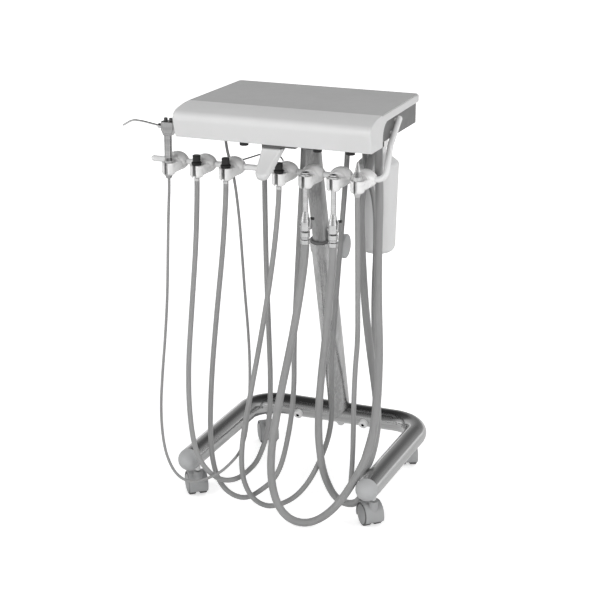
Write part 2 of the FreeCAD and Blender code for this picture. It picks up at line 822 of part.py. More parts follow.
def build_caster(name, x, y, heading):
    """One twin-wheel caster: a hood over two wheels on one axle behind the stem."""
    turn = caster_turn(heading)
    trail = turn.multVec(Vector(0, -1, 0))
    axle_x = x + mm.caster_trail * trail.x
    axle_y = y + mm.caster_trail * trail.y
    chamber = mm.hood_radius - mm.hood_wall
    skirt = root(mm.hood_radius * mm.hood_radius - mm.hood_skirt * mm.hood_skirt)
    boss_top = mm.hood_height - mm.wheel_radius

    hood = new_body(f"caster_hood_{name}")
    pad(hood, "YZ_Plane", 0, mm.hood_half * 2, symmetric=True, outlines=[[
        (-skirt, -mm.hood_skirt), (skirt, -mm.hood_skirt), Bend(mm.hood_radius), (0, mm.hood_radius),
        Bend(mm.hood_radius)]])
    fillet_edges(hood, mm.hood_edge,
                 lambda edge, middle: middle.z > 0 and abs(abs(middle.x) - float(mm.hood_half)) < 0.01)
    pad(hood, "XY_Plane", mm.hood_boss_start, boss_top - mm.hood_boss_start,
        circles=[(0, mm.caster_trail, mm.hood_boss)])
    for side, offset in (("right", mm.hood_web), ("left", -mm.hood_web)):
        pocket(hood, "YZ_Plane", offset, mm.hood_half, circles=[(0, 0, chamber)],
               reverse=side == "right")
    pocket(hood, "XY_Plane", boss_top, mm.swivel_pin_length + mm.run_gap * 2,
           circles=[(0, mm.caster_trail, mm.swivel_pin + mm.fit_gap)])
    pocket(hood, "YZ_Plane", 0, mm.hood_web * 4, symmetric=True,
           circles=[(0, 0, mm.axle_radius + mm.fit_gap)])
    node(f"caster_hood_{name}", place(hood, axle_x, axle_y, mm.wheel_radius, turn))

    wheels = []
    outer = mm.wheel_inner + mm.wheel_tread
    rise = mm.wheel_dome - mm.wheel_rim_step
    dome = (mm.wheel_rim * mm.wheel_rim + rise * rise) / (rise * 2)
    for side in (-1, 1):
        wheels.append(turned(f"wheel_{name}_{'left' if side < 0 else 'right'}", [
            (mm.axle_radius, mm.wheel_inner), (mm.wheel_radius, mm.wheel_inner, 2.0),
            (mm.wheel_radius, outer, 2.0), (mm.wheel_rim, outer),
            (mm.wheel_rim, outer + mm.wheel_rim_step), Bend(dome), (0, outer + mm.wheel_dome),
            (0, outer), (mm.axle_radius, outer)],
            axle_x, axle_y, mm.wheel_radius, turn.multVec(Vector(side, 0, 0))))
    half = outer
    start = turn.multVec(Vector(-float(half), 0, 0))
    axle = cylinder(f"axle_{name}", mm.axle_radius, half * 2, axle_x + start.x, axle_y + start.y,
                    mm.wheel_radius, turn.multVec(Vector(1, 0, 0)))
    group(f"caster_wheels_{name}", wheels + [axle])


# ---------------------------------------------------------------- post
def build_lower_post():
    """Outer tube of the post: saddled on the crossbar, with a collar and a boss for the lock."""
    body = new_body("lower_post")
    bore = mm.tube_outer - mm.tube_wall
    pad(body, "XY_Plane", 0, mm.lower_post_length, circles=[(0, 0, mm.tube_outer), (0, 0, bore)])
    pocket(body, "YZ_Plane", 0, mm.tube_outer * 3, symmetric=True, circles=[(0, 0, mm.tube_outer)])
    pad(body, "XY_Plane", mm.lower_post_length - mm.collar_height, mm.collar_height,
        circles=[(0, 0, mm.collar_radius), (0, 0, bore)])
    pad(body, "XY_Plane", mm.post_plug_start, mm.post_plug_height,
        circles=[(0, 0, mm.tube_outer), (0, 0, mm.bolt_radius + mm.fit_gap)])
    boss_start = mm.tube_outer - mm.tube_wall / 2
    pad(body, "YZ_Plane", boss_start, mm.lock_boss_end - boss_start,
        circles=[(0, mm.lock_height, mm.lock_boss)])
    pocket(body, "YZ_Plane", 0, mm.lock_boss_end * 2, reverse=True,
           circles=[(0, mm.lock_height, mm.lock_stud + mm.fit_gap)])
    node("lower_post", place_on_post(body))


def build_post_bushing():
    outer = mm.tube_outer - mm.tube_wall - mm.fit_gap
    inner = mm.upper_post_radius + mm.fit_gap
    top = mm.lower_post_length
    body = turned("post_bushing", [
        (inner, top - mm.bushing_length), (outer, top - mm.bushing_length), (outer, top),
        (mm.tube_outer, top), (mm.tube_outer, top + mm.bushing_flange, 1.5),
        (inner, top + mm.bushing_flange)])
    pocket(body, "YZ_Plane", 0, mm.tube_outer * 2, reverse=True,
           circles=[(0, mm.lock_height, mm.lock_stud + mm.run_gap)])
    node("post_bushing", place_on_post(body))


def build_post_bolt():
    """Bolt that pulls the post's foot down on the crossbar, with a saddle washer under its head."""
    seat = -(mm.tube_outer + mm.bolt_washer_height)
    washer = cylinder("bolt_washer", mm.bolt_washer, mm.tube_outer)
    place_on_post(washer, seat)
    crossbar = cylinder("crossbar_under", mm.tube_outer, mm.track_half,
                        -mm.track_half / 2, mm.crossbar_back, mm.base_height, (1, 0, 0))
    saddle = cut("bolt_saddle", washer, crossbar)
    hexagon = new_body("bolt_hexagon")
    across = mm.bolt_head
    points = []
    for step in range(6):
        angle = math.radians(60 * step)
        points.append((across * math.cos(angle), across * math.sin(angle)))
    pad(hexagon, "XY_Plane", seat - mm.bolt_head_height, mm.bolt_head_height, outlines=[points])
    place_on_post(hexagon)
    shank = cylinder("bolt_shank", mm.bolt_radius, mm.post_plug_start + mm.post_plug_height - seat)
    place_on_post(shank, seat)
    node("post_bolt", fuse("post_bolt", [saddle, hexagon, shank]))


def build_upper_post():
    body = new_body("upper_post")
    pad(body, "XY_Plane", mm.upper_post_start, mm.upper_post_end - mm.upper_post_start, circles=[
        (0, 0, mm.upper_post_radius), (0, 0, mm.upper_post_radius - mm.tube_wall)])
    node("upper_post", place_on_post(body))


def build_lock_knob():
    """Round hand knob on a stud that presses on the inner tube through collar and bushing."""
    tip = mm.upper_post_radius + mm.run_gap
    hub_start = mm.lock_boss_end + 1.0
    rim = mm.lock_disc_radius
    disc_end = mm.lock_disc_start + mm.lock_disc_height
    body = turned("lock_knob", [
        (0, tip), (mm.lock_stud, tip), (mm.lock_stud, hub_start), (mm.lock_hub, hub_start),
        (mm.lock_hub, mm.lock_disc_start), (rim, mm.lock_disc_start, 3.0), (rim, disc_end, 3.0),
        (mm.lock_hub, disc_end), (0, disc_end)])
    y = mm.crossbar_back - mm.lock_height * sine(mm.post_lean)
    height = mm.base_height + mm.lock_height * cosine(mm.post_lean)
    node("lock_knob", place(body, 0, y, height, turn_to((1, 0, 0))))


# ---------------------------------------------------------------- delivery head
def cover_half(y, inset):
    """Half the cover's width at a distance y behind the origin, less an inset."""
    share = (y + mm.nose_y) / (mm.cover_rear + mm.nose_y)
    return mm.cover_half_front + (mm.cover_half_rear - mm.cover_half_front) * share - inset


def side_profile(inset):
    """The head's side outline as (y, z) points, moved inwards by an inset."""
    slope = mm.post_lean
    brow_y = mm.mat_front + mm.brow_radius * sine(slope)
    brow_z = mm.head_top - mm.brow_radius * (1 - cosine(slope))
    return [
        (-mm.mat_front, mm.head_top - inset), Bend(mm.brow_radius - inset),
        (-brow_y + inset * sine(slope), brow_z - inset * cosine(slope)),
        (-mm.nose_y + inset, mm.nose_z - inset * 0.8, mm.nose_radius - inset),
    ]


def build_cover():
    """White moulded cover: a shell that is deep at the front and has low flanges at the sides."""
    seat = mm.head_top - mm.mat_height
    wall = mm.cover_wall
    outer = new_body("cover_outer")
    pad(outer, "YZ_Plane", 0, mm.cover_half_front * 2, symmetric=True, outlines=[
        [(mm.cover_rear, seat), (-mm.mat_front, seat)] + side_profile(0) + [
            (-mm.chin_y, mm.chin_z, 1.2), (-mm.cheek_y, mm.cheek_z, 3.0),
            (-mm.cheek_y, mm.flange_z, mm.cheek_radius), (mm.cover_rear, mm.flange_z)]])
    taper(outer, 0)
    fillet_edges(outer, mm.cover_edge, front_side_edge)
    inner = new_body("cover_inner")
    deep = mm.cheek_z - mm.cover_wall
    pad(inner, "YZ_Plane", 0, mm.cover_half_front * 2, symmetric=True, outlines=[
        [(mm.cover_rear - wall, seat - wall), (-mm.mat_front, seat - wall)] + side_profile(wall)[2:] + [
            (-mm.chin_y + wall, deep), (mm.cover_rear - wall, deep)]])
    taper(inner, wall)
    node("cover", cut("cover", outer, inner))


def front_side_edge(edge, middle):
    """Edges of the cover's side faces in front of the mat, above the chin."""
    half = float(cover_half(size_of(middle.y), 0))
    on_side = abs(abs(middle.x) - half) < 0.6
    return on_side and middle.y < -float(mm.mat_front) - 1 and middle.z > float(mm.chin_z) + 3


def taper(body, inset):
    """Trims a pad of the head to its plan, which narrows to the rear."""
    front, back = -mm.nose_y - 5.0, mm.cover_rear + 5.0
    wide = mm.cover_half_front + 5.0
    for side in (-1, 1):
        outline = [(cover_half(front, inset) * side, front), (wide * side, front),
                   (wide * side, back), (cover_half(back, inset) * side, back)]
        pocket(body, "XY_Plane", 0, mm.head_top * 2, symmetric=True, outlines=[outline])


def build_work_surface():
    """Mat on the cover's top."""
    body = new_body("work_surface")
    front, back = -mm.mat_front, mm.cover_rear - mm.mat_inset
    front_half = cover_half(front, mm.mat_inset)
    back_half = cover_half(back, mm.mat_inset)
    pad(body, "XY_Plane", 0, mm.mat_height, outlines=[[
        (-front_half, front), (front_half, front), (back_half, back, 6.0), (-back_half, back, 6.0)]])
    node("work_surface", place(body, 0, 0, mm.head_top - mm.mat_height))


def build_chassis():
    """Folded tray that carries bar, hoses and bracket and closes the head from below.

    Its walls are cut off in front along the cover's sloping brow.
    """
    body = new_body("chassis")
    half, front, back, wall = mm.chassis_half, -mm.chassis_front, mm.chassis_rear, mm.chassis_wall
    depth = mm.head_top - mm.mat_height - mm.cover_wall - mm.chassis_bottom
    pad(body, "XY_Plane", 0, depth, outlines=[rectangle(-half, front, half, back, 3.0)])
    pocket(body, "XY_Plane", depth, depth - wall, outlines=[
        rectangle(-half + wall, front + wall, half - wall, back - wall, 1.5)])
    holes = [(points[-1][0], points[-1][1], mm.fit_gap + radius) for radius, points in HOSES.values()]
    holes += [(x, -mm.flow_y, mm.flow_stem + mm.run_gap) for x in FLOW_KNOB_X]
    holes += [(x, y, mm.screw_radius + mm.fit_gap) for x, y in bracket_screws()]
    pocket(body, "XY_Plane", 0, wall * 2, circles=holes, reverse=True)
    brow_y, brow_z = side_profile(mm.cover_wall)[2]
    pocket(body, "YZ_Plane", 0, half * 3, symmetric=True, outlines=[[
        (-mm.mat_front, depth), (-mm.mat_front, depth + wall), (brow_y, depth + wall),
        (brow_y, brow_z - mm.chassis_bottom)]])
    node("chassis", place(body, 0, 0, mm.chassis_bottom))


def bracket_centre():
    """Where the post's axis meets the chassis."""
    return mm.crossbar_back - mm.post_climb * sine(mm.post_lean)


def bracket_screws():
    centre = bracket_centre()
    return [(x * mm.bracket_screw_x, centre + y * mm.bracket_screw_y)
            for x in (-1, 1) for y in (-1, 1)]


def build_head_bracket():
    """Plate under the chassis with the socket that the post's upper tube sits in."""
    centre = bracket_centre()
    plate = new_body("bracket_plate")
    pad(plate, "XY_Plane", 0, mm.bracket_plate, outlines=[rectangle(
        -mm.bracket_half_x, centre - mm.bracket_half_y, mm.bracket_half_x, centre + mm.bracket_half_y, 8.0)])
    pocket(plate, "XY_Plane", 0, mm.bracket_plate * 2, reverse=True, circles=[
        (x, y, mm.screw_radius + mm.fit_gap) for x, y in bracket_screws()])
    bottom = mm.chassis_bottom - mm.bracket_plate
    place(plate, 0, 0, bottom)
    long_socket = cylinder("socket_outer", mm.bracket_socket, mm.bracket_socket * 4)
    place_on_post(long_socket, mm.bracket_socket_start)
    above = box("socket_trim", -mm.bracket_half_x, mm.bracket_half_x, centre - mm.bracket_half_x * 2,
                centre + mm.bracket_half_x * 2, bottom, bottom + mm.bracket_socket * 6)
    welded = fuse("bracket_welded", [plate, cut("socket_trimmed", long_socket, above)])
    bore = cylinder("socket_bore", mm.upper_post_radius + mm.fit_gap,
                    mm.upper_post_end - mm.bracket_socket_start + mm.run_gap + 5.0)
    place_on_post(bore, mm.bracket_socket_start - 5.0)
    node("head_bracket", cut("head_bracket", welded, bore))


def build_screws():
    """Screws that hold the bracket to the chassis."""
    top = mm.bracket_plate + mm.chassis_wall + mm.screw_reach
    screws = []
    for number, (x, y) in enumerate(bracket_screws()):
        screws.append(turned(f"bracket_screw_{number}", [
            (0, -mm.screw_head_height), (mm.screw_head, -mm.screw_head_height, 1.0), (mm.screw_head, 0),
            (mm.screw_radius, 0), (mm.screw_radius, top), (0, top)],
            x, y, mm.chassis_bottom - mm.bracket_plate))
    group("screws", screws)


def build_handle():
    """Tongue-shaped pull handle that slopes down to the front."""
    body = new_body("handle_tongue")
    end = mm.handle_end_radius
    length = mm.handle_length - end
    pad(body, "XY_Plane", 0, mm.handle_thickness, symmetric=True, outlines=[[
        (mm.handle_top_half, mm.handle_root), (-mm.handle_top_half, mm.handle_root),
        (-mm.handle_top_half, 0),
        (-end, -length), Bend(end), (0, -length - end), Bend(end), (end, -length),
        (mm.handle_top_half, 0)]])
    fillet_edges(body, mm.handle_edge, lambda edge, middle: middle.y < 1 and
                 abs(abs(middle.z) - float(mm.handle_thickness) / 2) < 0.01)
    turn = FreeCAD.Rotation(Vector(1, 0, 0), float(mm.handle_slope))
    place(body, 0, -mm.handle_y, mm.handle_plate_z - 3.0, turn)
    wide, far = mm.handle_top_half * 2, mm.handle_length
    above = box("handle_trim", -wide, wide, -mm.handle_y - far, -mm.handle_y + far, mm.handle_plate_z,
                mm.handle_plate_z + far)
    node("handle", cut("handle", body, above))


def build_handle_plate():
    """Dark plate between handle and chassis, with a tab to the right."""
    body = new_body("handle_plate")
    pad(body, "XZ_Plane", mm.handle_plate_back, mm.handle_y - mm.handle_plate_back + 2.0, outlines=[[
        (-mm.handle_plate_left, mm.handle_plate_z), (mm.handle_plate_right, mm.handle_plate_z),
        (mm.handle_plate_right, mm.handle_tab_z), (mm.handle_tab_right, mm.handle_tab_z),
        (mm.handle_tab_right, mm.chassis_bottom), (-mm.handle_plate_left, mm.chassis_bottom)]])
    node("handle_plate", body)


def build_flow_controls():
    """Fluted knobs under the head's front edge and the valve block that their stems enter."""
    for number, x in enumerate(FLOW_KNOB_X, start=1):
        name = f"flow_knob_{number}"
        body = turned(name, [
            (0, 0), (mm.flow_knob_radius, 0, 1.5), (mm.flow_knob_radius, mm.flow_knob_height, 1.0),
            (mm.flow_stem, mm.flow_knob_height), (mm.flow_stem, mm.flow_knob_height + mm.flow_stem_length),
            (0, mm.flow_knob_height + mm.flow_stem_length)], x, -mm.flow_y, mm.flow_knob_bottom)
        flute = pocket(body, "XY_Plane", 0, mm.flow_knob_height, reverse=True,
                       circles=[(mm.flow_knob_radius + mm.flute_radius / 2, 0, mm.flute_radius)])
        pattern = body.newObject("PartDesign::PolarPattern", name + "_flutes")
        pattern.Originals = [flute]
        pattern.Axis = (flute.Profile[0], ["N_Axis"])
        pattern.Angle = 360
        pattern.Occurrences = KNOB_FLUTES
        body.Tip = pattern
        node(name, body)
    floor = mm.chassis_bottom + mm.chassis_wall
    block = box("valve_block", -mm.block_left, mm.block_right, -mm.block_front, -mm.block_back, floor,
                floor + mm.block_height)
    depth = mm.flow_knob_bottom + mm.flow_knob_height + mm.flow_stem_length - floor + 1.0
    bores = []
    for number, x in enumerate(FLOW_KNOB_X, start=1):
        bores.append(cylinder(f"valve_bore_{number}", mm.flow_stem + mm.fit_gap, depth + 1.0,
                              x, -mm.flow_y, floor - 1.0))
    node("control_block", cut("control_block", block, fuse("valve_bores", bores)))


# ---------------------------------------------------------------- holders
def bar_points():
    """The bar: along the holders, then up and back beside the chassis."""
    y, height, side = -mm.bar_y, mm.bar_z, mm.bar_side
    return [(-mm.bar_left, y, height), (side, y, height),
            (side, y + mm.bar_step, height + mm.bar_rise),
            (side, y + mm.bar_upper_step, height + mm.bar_upper_rise)]


def build_holder_bar():
    """White bar with a rounded free end and two studs to the chassis."""
    points = bar_points()
    bends = [float(mm.bar_bend), float(mm.bar_upper_bend)]
    bent = rod("holder_bar_bent", [to_vector(spot) for spot in points], bends, mm.bar_radius)
    ends = []
    for name, spot in (("left", points[0]), ("top", points[-1])):
        ball = doc.addObject("Part::Sphere", f"holder_bar_{name}")
        ball.Radius = float(mm.bar_radius)
        bind(ball, "Radius", mm.bar_radius)
        ends.append(place(ball, *spot))
    studs = []
    for name, share in BAR_STUDS.items():
        low, high = points[2], points[3]
        y = low[1] + (high[1] - low[1]) * share
        height = low[2] + (high[2] - low[2]) * share
        studs.append(cylinder(f"bar_stud_{name}", mm.bar_stud, mm.bar_side - mm.chassis_half,
                              mm.chassis_half, y, height, (1, 0, 0)))
    node("holder_bar", fuse("holder_bar", [bent] + ends + studs))


def build_holder(number, x):
    """A hub on the bar, a tapered neck and an upright cup that is slotted at the front."""
    name = f"holder_{number}"
    hub_x = x + mm.hub_offset
    bore = mm.bar_radius + mm.fit_gap
    swell = mm.hub_radius - mm.hub_end
    belly = (mm.hub_half * mm.hub_half + swell * swell) / (swell * 2)
    hub = turned(name + "_hub", [
        (bore, -mm.hub_half), (mm.hub_end, -mm.hub_half), Bend(belly), (mm.hub_radius, 0), Bend(belly),
        (mm.hub_end, mm.hub_half), (bore, mm.hub_half)], hub_x, -mm.bar_y, mm.bar_z, (1, 0, 0))
    reach = mm.cup_y - mm.bar_y
    direction = (-mm.hub_offset, -reach, -mm.neck_drop)
    narrow = mm.cup_radius - 0.5
    neck = cone(name + "_neck", mm.hub_radius - 0.5, narrow, (hub_x, -mm.bar_y, mm.bar_z), direction)
    cup = turned(name + "_cup", [
        (0, mm.cup_bottom), (mm.cup_radius, mm.cup_bottom, mm.cup_round), (mm.cup_radius, mm.cup_top),
        (0, mm.cup_top)], x, -mm.cup_y)
    solids = [hub, neck, cup]
    for side, offset in (("left", -mm.web_spread), ("right", mm.web_spread)):
        lean = (-mm.hub_offset - offset, -reach, mm.web_drop - mm.neck_drop)
        start = (hub_x + offset, -mm.bar_y, mm.bar_z - mm.web_drop)
        solids.append(cone(f"{name}_{side}_web", mm.web_radius, narrow, start, lean))
    solids += holder_barb(number, name)
    body = fuse(name + "_body", solids)
    tools = [
        cylinder(name + "_bar_bore", bore, mm.hub_half * 2, hub_x - mm.hub_half, -mm.bar_y, mm.bar_z,
                 (1, 0, 0)),
        cylinder(name + "_cup_bore", mm.cup_bore, mm.hub_radius * 4, x, -mm.cup_y,
                 mm.cup_bottom - mm.hub_radius),
        box(name + "_slot", x - mm.cup_slot / 2, x + mm.cup_slot / 2, -mm.cup_y - mm.cup_radius * 2,
            -mm.cup_y, mm.cup_bottom - mm.hub_radius, mm.cup_top + mm.hub_radius),
        box(name + "_top", x - mm.cup_radius * 2, x + mm.cup_radius * 2, -mm.cup_y - mm.cup_radius * 2,
            -mm.cup_y + mm.cup_radius - 1.0, mm.cup_top, mm.cup_top + mm.hub_radius * 2)]
    node(name, cut(name, body, fuse(name + "_tools", tools)))


def signal_route():
    return [to_vector((x, y - mm.bar_y, height + mm.bar_z)) for x, y, height in SIGNAL_ROUTE]


def holder_barb(number, name):
    """Barb of the thin signal tube, on holders 3 and 4."""
    route = signal_route()
    ends = {3: (route[0], route[1]), 4: (route[-1], route[-2])}
    if number not in ends:
        return []
    end, next_point = ends[number]
    inward = (end - next_point).normalize()
    return [cylinder(name + "_barb", mm.barb_radius, mm.barb_length, end.x, end.y, end.z, tuple(inward))]


# ---------------------------------------------------------------- instruments
def holders_of(kind):
    """Numbers and cup centres of the holders that carry one kind of instrument."""
    return [(number, size_of(x)) for number, (name, x) in enumerate(zip(INSTRUMENTS, HOLDER_X), start=1)
            if name == kind]


def build_handpiece_ends():
    """Connectors of the three handpiece hoses, each under a black cap that rests on its cup."""
    connectors, caps = [], []
    for number, x in holders_of("handpiece"):
        connectors.append(turned(f"connector_{number}", [
            (0, mm.hose_top), (mm.ferrule_radius, mm.hose_top), (mm.ferrule_radius, mm.ferrule_top, 0.5),
            (mm.connector_radius, mm.ferrule_top), (mm.connector_radius, mm.cup_top), (0, mm.cup_top)],
            x, -mm.cup_y))
        rim_top = mm.cup_top + mm.cap_flange_height
        caps.append(turned(f"connector_cap_{number}", [
            (0, mm.cup_top), (mm.cap_flange - 1.5, mm.cup_top),
            (mm.cap_flange, mm.cup_top + mm.cap_flange_flare, 1.0), (mm.cap_radius, rim_top),
            (mm.cap_radius, mm.cap_top, 1.5), (0, mm.cap_top)],
            x, -mm.cup_y))
    group("handpiece_connectors", connectors)
    group("connector_caps", caps)


def build_syringe():
    """Three-way syringe: barrel, head, two push buttons and a nozzle that turns in the head."""
    [(_, x)] = holders_of("syringe")
    head_x = x + mm.syringe_head_shift
    collar_top = mm.cup_top + mm.syringe_collar_height
    barrel = turned("syringe_barrel", [
        (0, mm.hose_top), (mm.ferrule_radius, mm.hose_top), (mm.syringe_barrel, mm.ferrule_top),
        (mm.syringe_barrel, mm.cup_top), (mm.syringe_collar, mm.cup_top),
        (mm.syringe_collar, collar_top, 1.0), (mm.syringe_barrel, collar_top + mm.syringe_collar_slope),
        (mm.syringe_barrel, mm.syringe_head_bottom), (0, mm.syringe_head_bottom)], x, -mm.cup_y)
    head = new_body("syringe_head")
    half, foot, top = mm.syringe_head_x / 2, mm.syringe_barrel + 0.5, mm.syringe_head_height
    pad(head, "XZ_Plane", 0, mm.syringe_head_y, symmetric=True, outlines=[[
        (-foot, 0), (foot, 0), (half, mm.syringe_head_taper, 4.0), (half, top, 3.0), (-half, top, 3.0),
        (-half, mm.syringe_head_taper, 4.0)]])
    fillet_edges(head, mm.syringe_head_edge,
                 lambda edge, middle: abs(abs(middle.y) - float(mm.syringe_head_y) / 2) < 0.01)
    place(head, head_x, -mm.cup_y, mm.syringe_head_bottom)
    tools = []
    for name, side in (("air", -1), ("water", 1)):
        button_x = head_x + mm.button_spread * side
        seat = mm.button_bottom - mm.button_travel - mm.run_gap
        tools.append(cylinder(f"{name}_button_bore", mm.button_radius + mm.fit_gap,
                              mm.syringe_head_height * 2, button_x, -mm.cup_y, seat))
        button = turned(f"{name}_button", [
            (0, 0), (mm.button_radius, 0), (mm.button_radius, mm.button_height, 1.2),
            (0, mm.button_height)], button_x, -mm.cup_y, mm.button_bottom)
        node(f"{name}_button", button)
    face_x = head_x - mm.syringe_head_x / 2
    outward = nozzle_direction()
    mouth = mm.nozzle_nut
    tools.append(cylinder(
        "nozzle_bore", mm.nozzle_pin + mm.fit_gap, mouth + mm.nozzle_pin_length + 2.0,
        face_x + mouth * outward.x, -mm.cup_y, mm.nozzle_z + mouth * outward.z, tuple(outward * -1)))
    body = fuse("syringe_solid", [barrel, head])
    node("syringe_body", cut("syringe_body", body, fuse("syringe_tools", tools)))
    build_nozzle(face_x)


def nozzle_direction():
    tilt = math.radians(float(mm.nozzle_tilt))
    return Vector(-math.cos(tilt), 0, math.sin(tilt))


def build_nozzle(face_x):
    """The syringe's bent tip with its knurled nut and the pin that seats in the head."""
    turn = nozzle_direction()
    nut_gap = mm.run_gap + mm.nozzle_nut * sine(mm.nozzle_tilt)
    parts = [turned("nozzle_nut", [
        (0, -mm.nozzle_pin_length), (mm.nozzle_pin, -mm.nozzle_pin_length), (mm.nozzle_pin, nut_gap),
        (mm.nozzle_nut, nut_gap),
        (mm.nozzle_nut, nut_gap + mm.nozzle_nut_length, 1.5), (0, nut_gap + mm.nozzle_nut_length)],
        face_x, -mm.cup_y, mm.nozzle_z, tuple(turn))]
    start = to_vector((face_x, -mm.cup_y, mm.nozzle_z))
    points = [start + turn * float(mm.nozzle_nut), start + turn * float(mm.nozzle_straight),
              start + to_vector((-mm.nozzle_bend_reach, 0, mm.nozzle_bend_rise)),
              start + to_vector((-mm.nozzle_tip_reach, 0, -mm.nozzle_tip_drop))]
    tip = rod("nozzle_tube", points, bend_radii(points), mm.nozzle_tube)
    node("syringe_nozzle", fuse("syringe_nozzle", parts + [tip]))


def build_evacuator(number, x):
    """High-volume evacuator: open tube with a valve body, whose rotor a side lever turns."""
    name = f"evacuator_{number}"
    valve_z = (mm.evac_valve_top + mm.evac_valve_bottom) / 2
    rim_top = mm.cup_top + mm.evac_flange_height
    tube = turned(name + "_tube", [
        (mm.evac_bore, mm.evac_valve_bottom), (mm.evac_valve, mm.evac_valve_bottom, 1.0),
        (mm.evac_valve, mm.evac_valve_top, 1.0), (mm.evac_barrel, mm.evac_valve_top + mm.evac_taper),
        (mm.evac_barrel, mm.cup_top), (mm.evac_flange, mm.cup_top), (mm.evac_flange, rim_top, 1.0),
        (mm.evac_mouth, rim_top),
        (mm.evac_mouth, mm.evac_top), (mm.evac_bore, mm.evac_top)], x, -mm.cup_y)
    rotor_bore = cylinder(name + "_rotor_bore", mm.evac_rotor + mm.fit_gap, mm.evac_valve * 4,
                          x - mm.evac_valve * 2, -mm.cup_y, valve_z, (1, 0, 0))
    node(name, cut(name, tube, rotor_bore))

    half = mm.evac_valve + mm.run_gap
    rotor = cylinder(name + "_rotor", mm.evac_rotor, half * 2, x - half, -mm.cup_y, valve_z, (1, 0, 0))
    port = cylinder(name + "_port", mm.evac_bore, mm.evac_rotor * 4, x, -mm.cup_y,
                    valve_z - mm.evac_rotor * 2)
    arm = new_body(name + "_arm")
    tip = mm.lever_half
    pad(arm, "YZ_Plane", 0, mm.lever_thickness, outlines=[[
        (-mm.evac_rotor, 0), Bend(mm.evac_rotor), (0, -mm.evac_rotor), Bend(mm.evac_rotor),
        (mm.evac_rotor, 0), (tip, mm.lever_reach), Bend(tip), (0, mm.lever_reach + tip), Bend(tip),
        (-tip, mm.lever_reach)]])
    place(arm, x + half, -mm.cup_y, valve_z)
    grip = cylinder(name + "_grip", mm.lever_grip, mm.lever_grip_length, x + half + mm.lever_thickness / 2,
                    -mm.cup_y, valve_z + mm.lever_reach, (1, 0, 0))
    node(f"evacuator_lever_{number}", fuse(
        f"evacuator_lever_{number}", [cut(name + "_ported", rotor, port), arm, grip]))


def build_adapters():
    """Banded tail pieces that join the evacuators to their hoses."""
    adapters = []
    for number, x in holders_of("evacuator"):
        bottom, top, radius = mm.adapter_bottom, mm.evac_valve_bottom, mm.adapter_radius
        groove, slope = mm.adapter_groove, mm.adapter_groove_slope
        groove_bottom = bottom + mm.adapter_band
        groove_top = groove_bottom + mm.adapter_groove_width
        adapters.append(turned(f"adapter_{number}", [
            (mm.evac_bore, bottom), (radius, bottom, 1.0), (radius, groove_bottom),
            (groove, groove_bottom + slope), (groove, groove_top - slope), (radius, groove_top),
            (radius, top - mm.adapter_neck, 1.0), (mm.evac_bore, top)], x, -mm.cup_y))
    group("evacuator_adapters", adapters)


def build_saliva_ejector():
    [(_, x)] = holders_of("saliva ejector")
    body = turned("saliva_ejector", [
        (0, mm.hose_top), (mm.ferrule_radius, mm.hose_top), (mm.ejector_body, mm.ferrule_top),
        (mm.ejector_body, mm.cup_top), (mm.ejector_shoulder, mm.cup_top),
        (mm.ejector_shoulder, mm.cup_top + mm.ejector_shoulder_height, 2.0),
        (mm.ejector_cone, mm.ejector_cone_z), (mm.ejector_tip, mm.ejector_tip_z, 0.5),
        (0, mm.ejector_tip_z)], x, -mm.cup_y)
    node("saliva_ejector", body)


# ---------------------------------------------------------------- bottle
def build_bottle():
    """Water bottle with thin walls; its neck screws into the cap under the chassis."""
    wall = mm.bottle_wall
    inner_foot = mm.bottle_foot - wall
    corner = mm.bottle_shoulder_corner
    body = turned("bottle", [
        (0, mm.bottle_bottom), (mm.bottle_foot, mm.bottle_bottom, mm.bottle_foot_corner),
        (mm.bottle_radius, mm.bottle_shoulder, corner), (mm.bottle_neck, mm.bottle_neck_start),
        (mm.bottle_neck, mm.bottle_neck_top), (mm.bottle_neck - wall, mm.bottle_neck_top),
        (mm.bottle_neck - wall, mm.bottle_neck_start),
        (mm.bottle_radius - wall, mm.bottle_shoulder - wall, corner - wall),
        (inner_foot, mm.bottle_bottom + wall, mm.bottle_foot_corner - wall),
        (0, mm.bottle_bottom + wall)], mm.bottle_x, 0)
    node("bottle", body)
    neck = mm.bottle_neck + mm.fit_gap
    seat = mm.bottle_neck_top + mm.run_gap
    stud = mm.bottle_cap_stud
    cap = turned("bottle_cap", [
        (0, mm.pickup_bottom), (mm.pickup_radius, mm.pickup_bottom), (mm.pickup_radius, seat),
        (neck, seat), (neck, mm.bottle_cap_bottom), (mm.bottle_cap_radius, mm.bottle_cap_bottom, 1.0),
        (mm.bottle_cap_radius, mm.bottle_cap_top, 2.0), (stud, mm.bottle_cap_top),
        (stud, mm.chassis_bottom), (0, mm.chassis_bottom)], mm.bottle_x, 0)
    node("bottle_cap", cap)


# ---------------------------------------------------------------- hoses
def fitted_route(points, start, end):
    """A drawn route with its two ends moved to where they belong; its lowest point stays."""
    lowest = min(points, key=lambda point: point.z)
    middle = points.index(lowest)
    moved = []
    for i, point in enumerate(points):
        drawn, wanted = (points[0], start) if i < middle else (points[-1], end)
        share = min(1.0, (point.z - lowest.z) / (drawn.z - lowest.z))
        moved.append(point + (wanted - drawn) * share)
    return moved


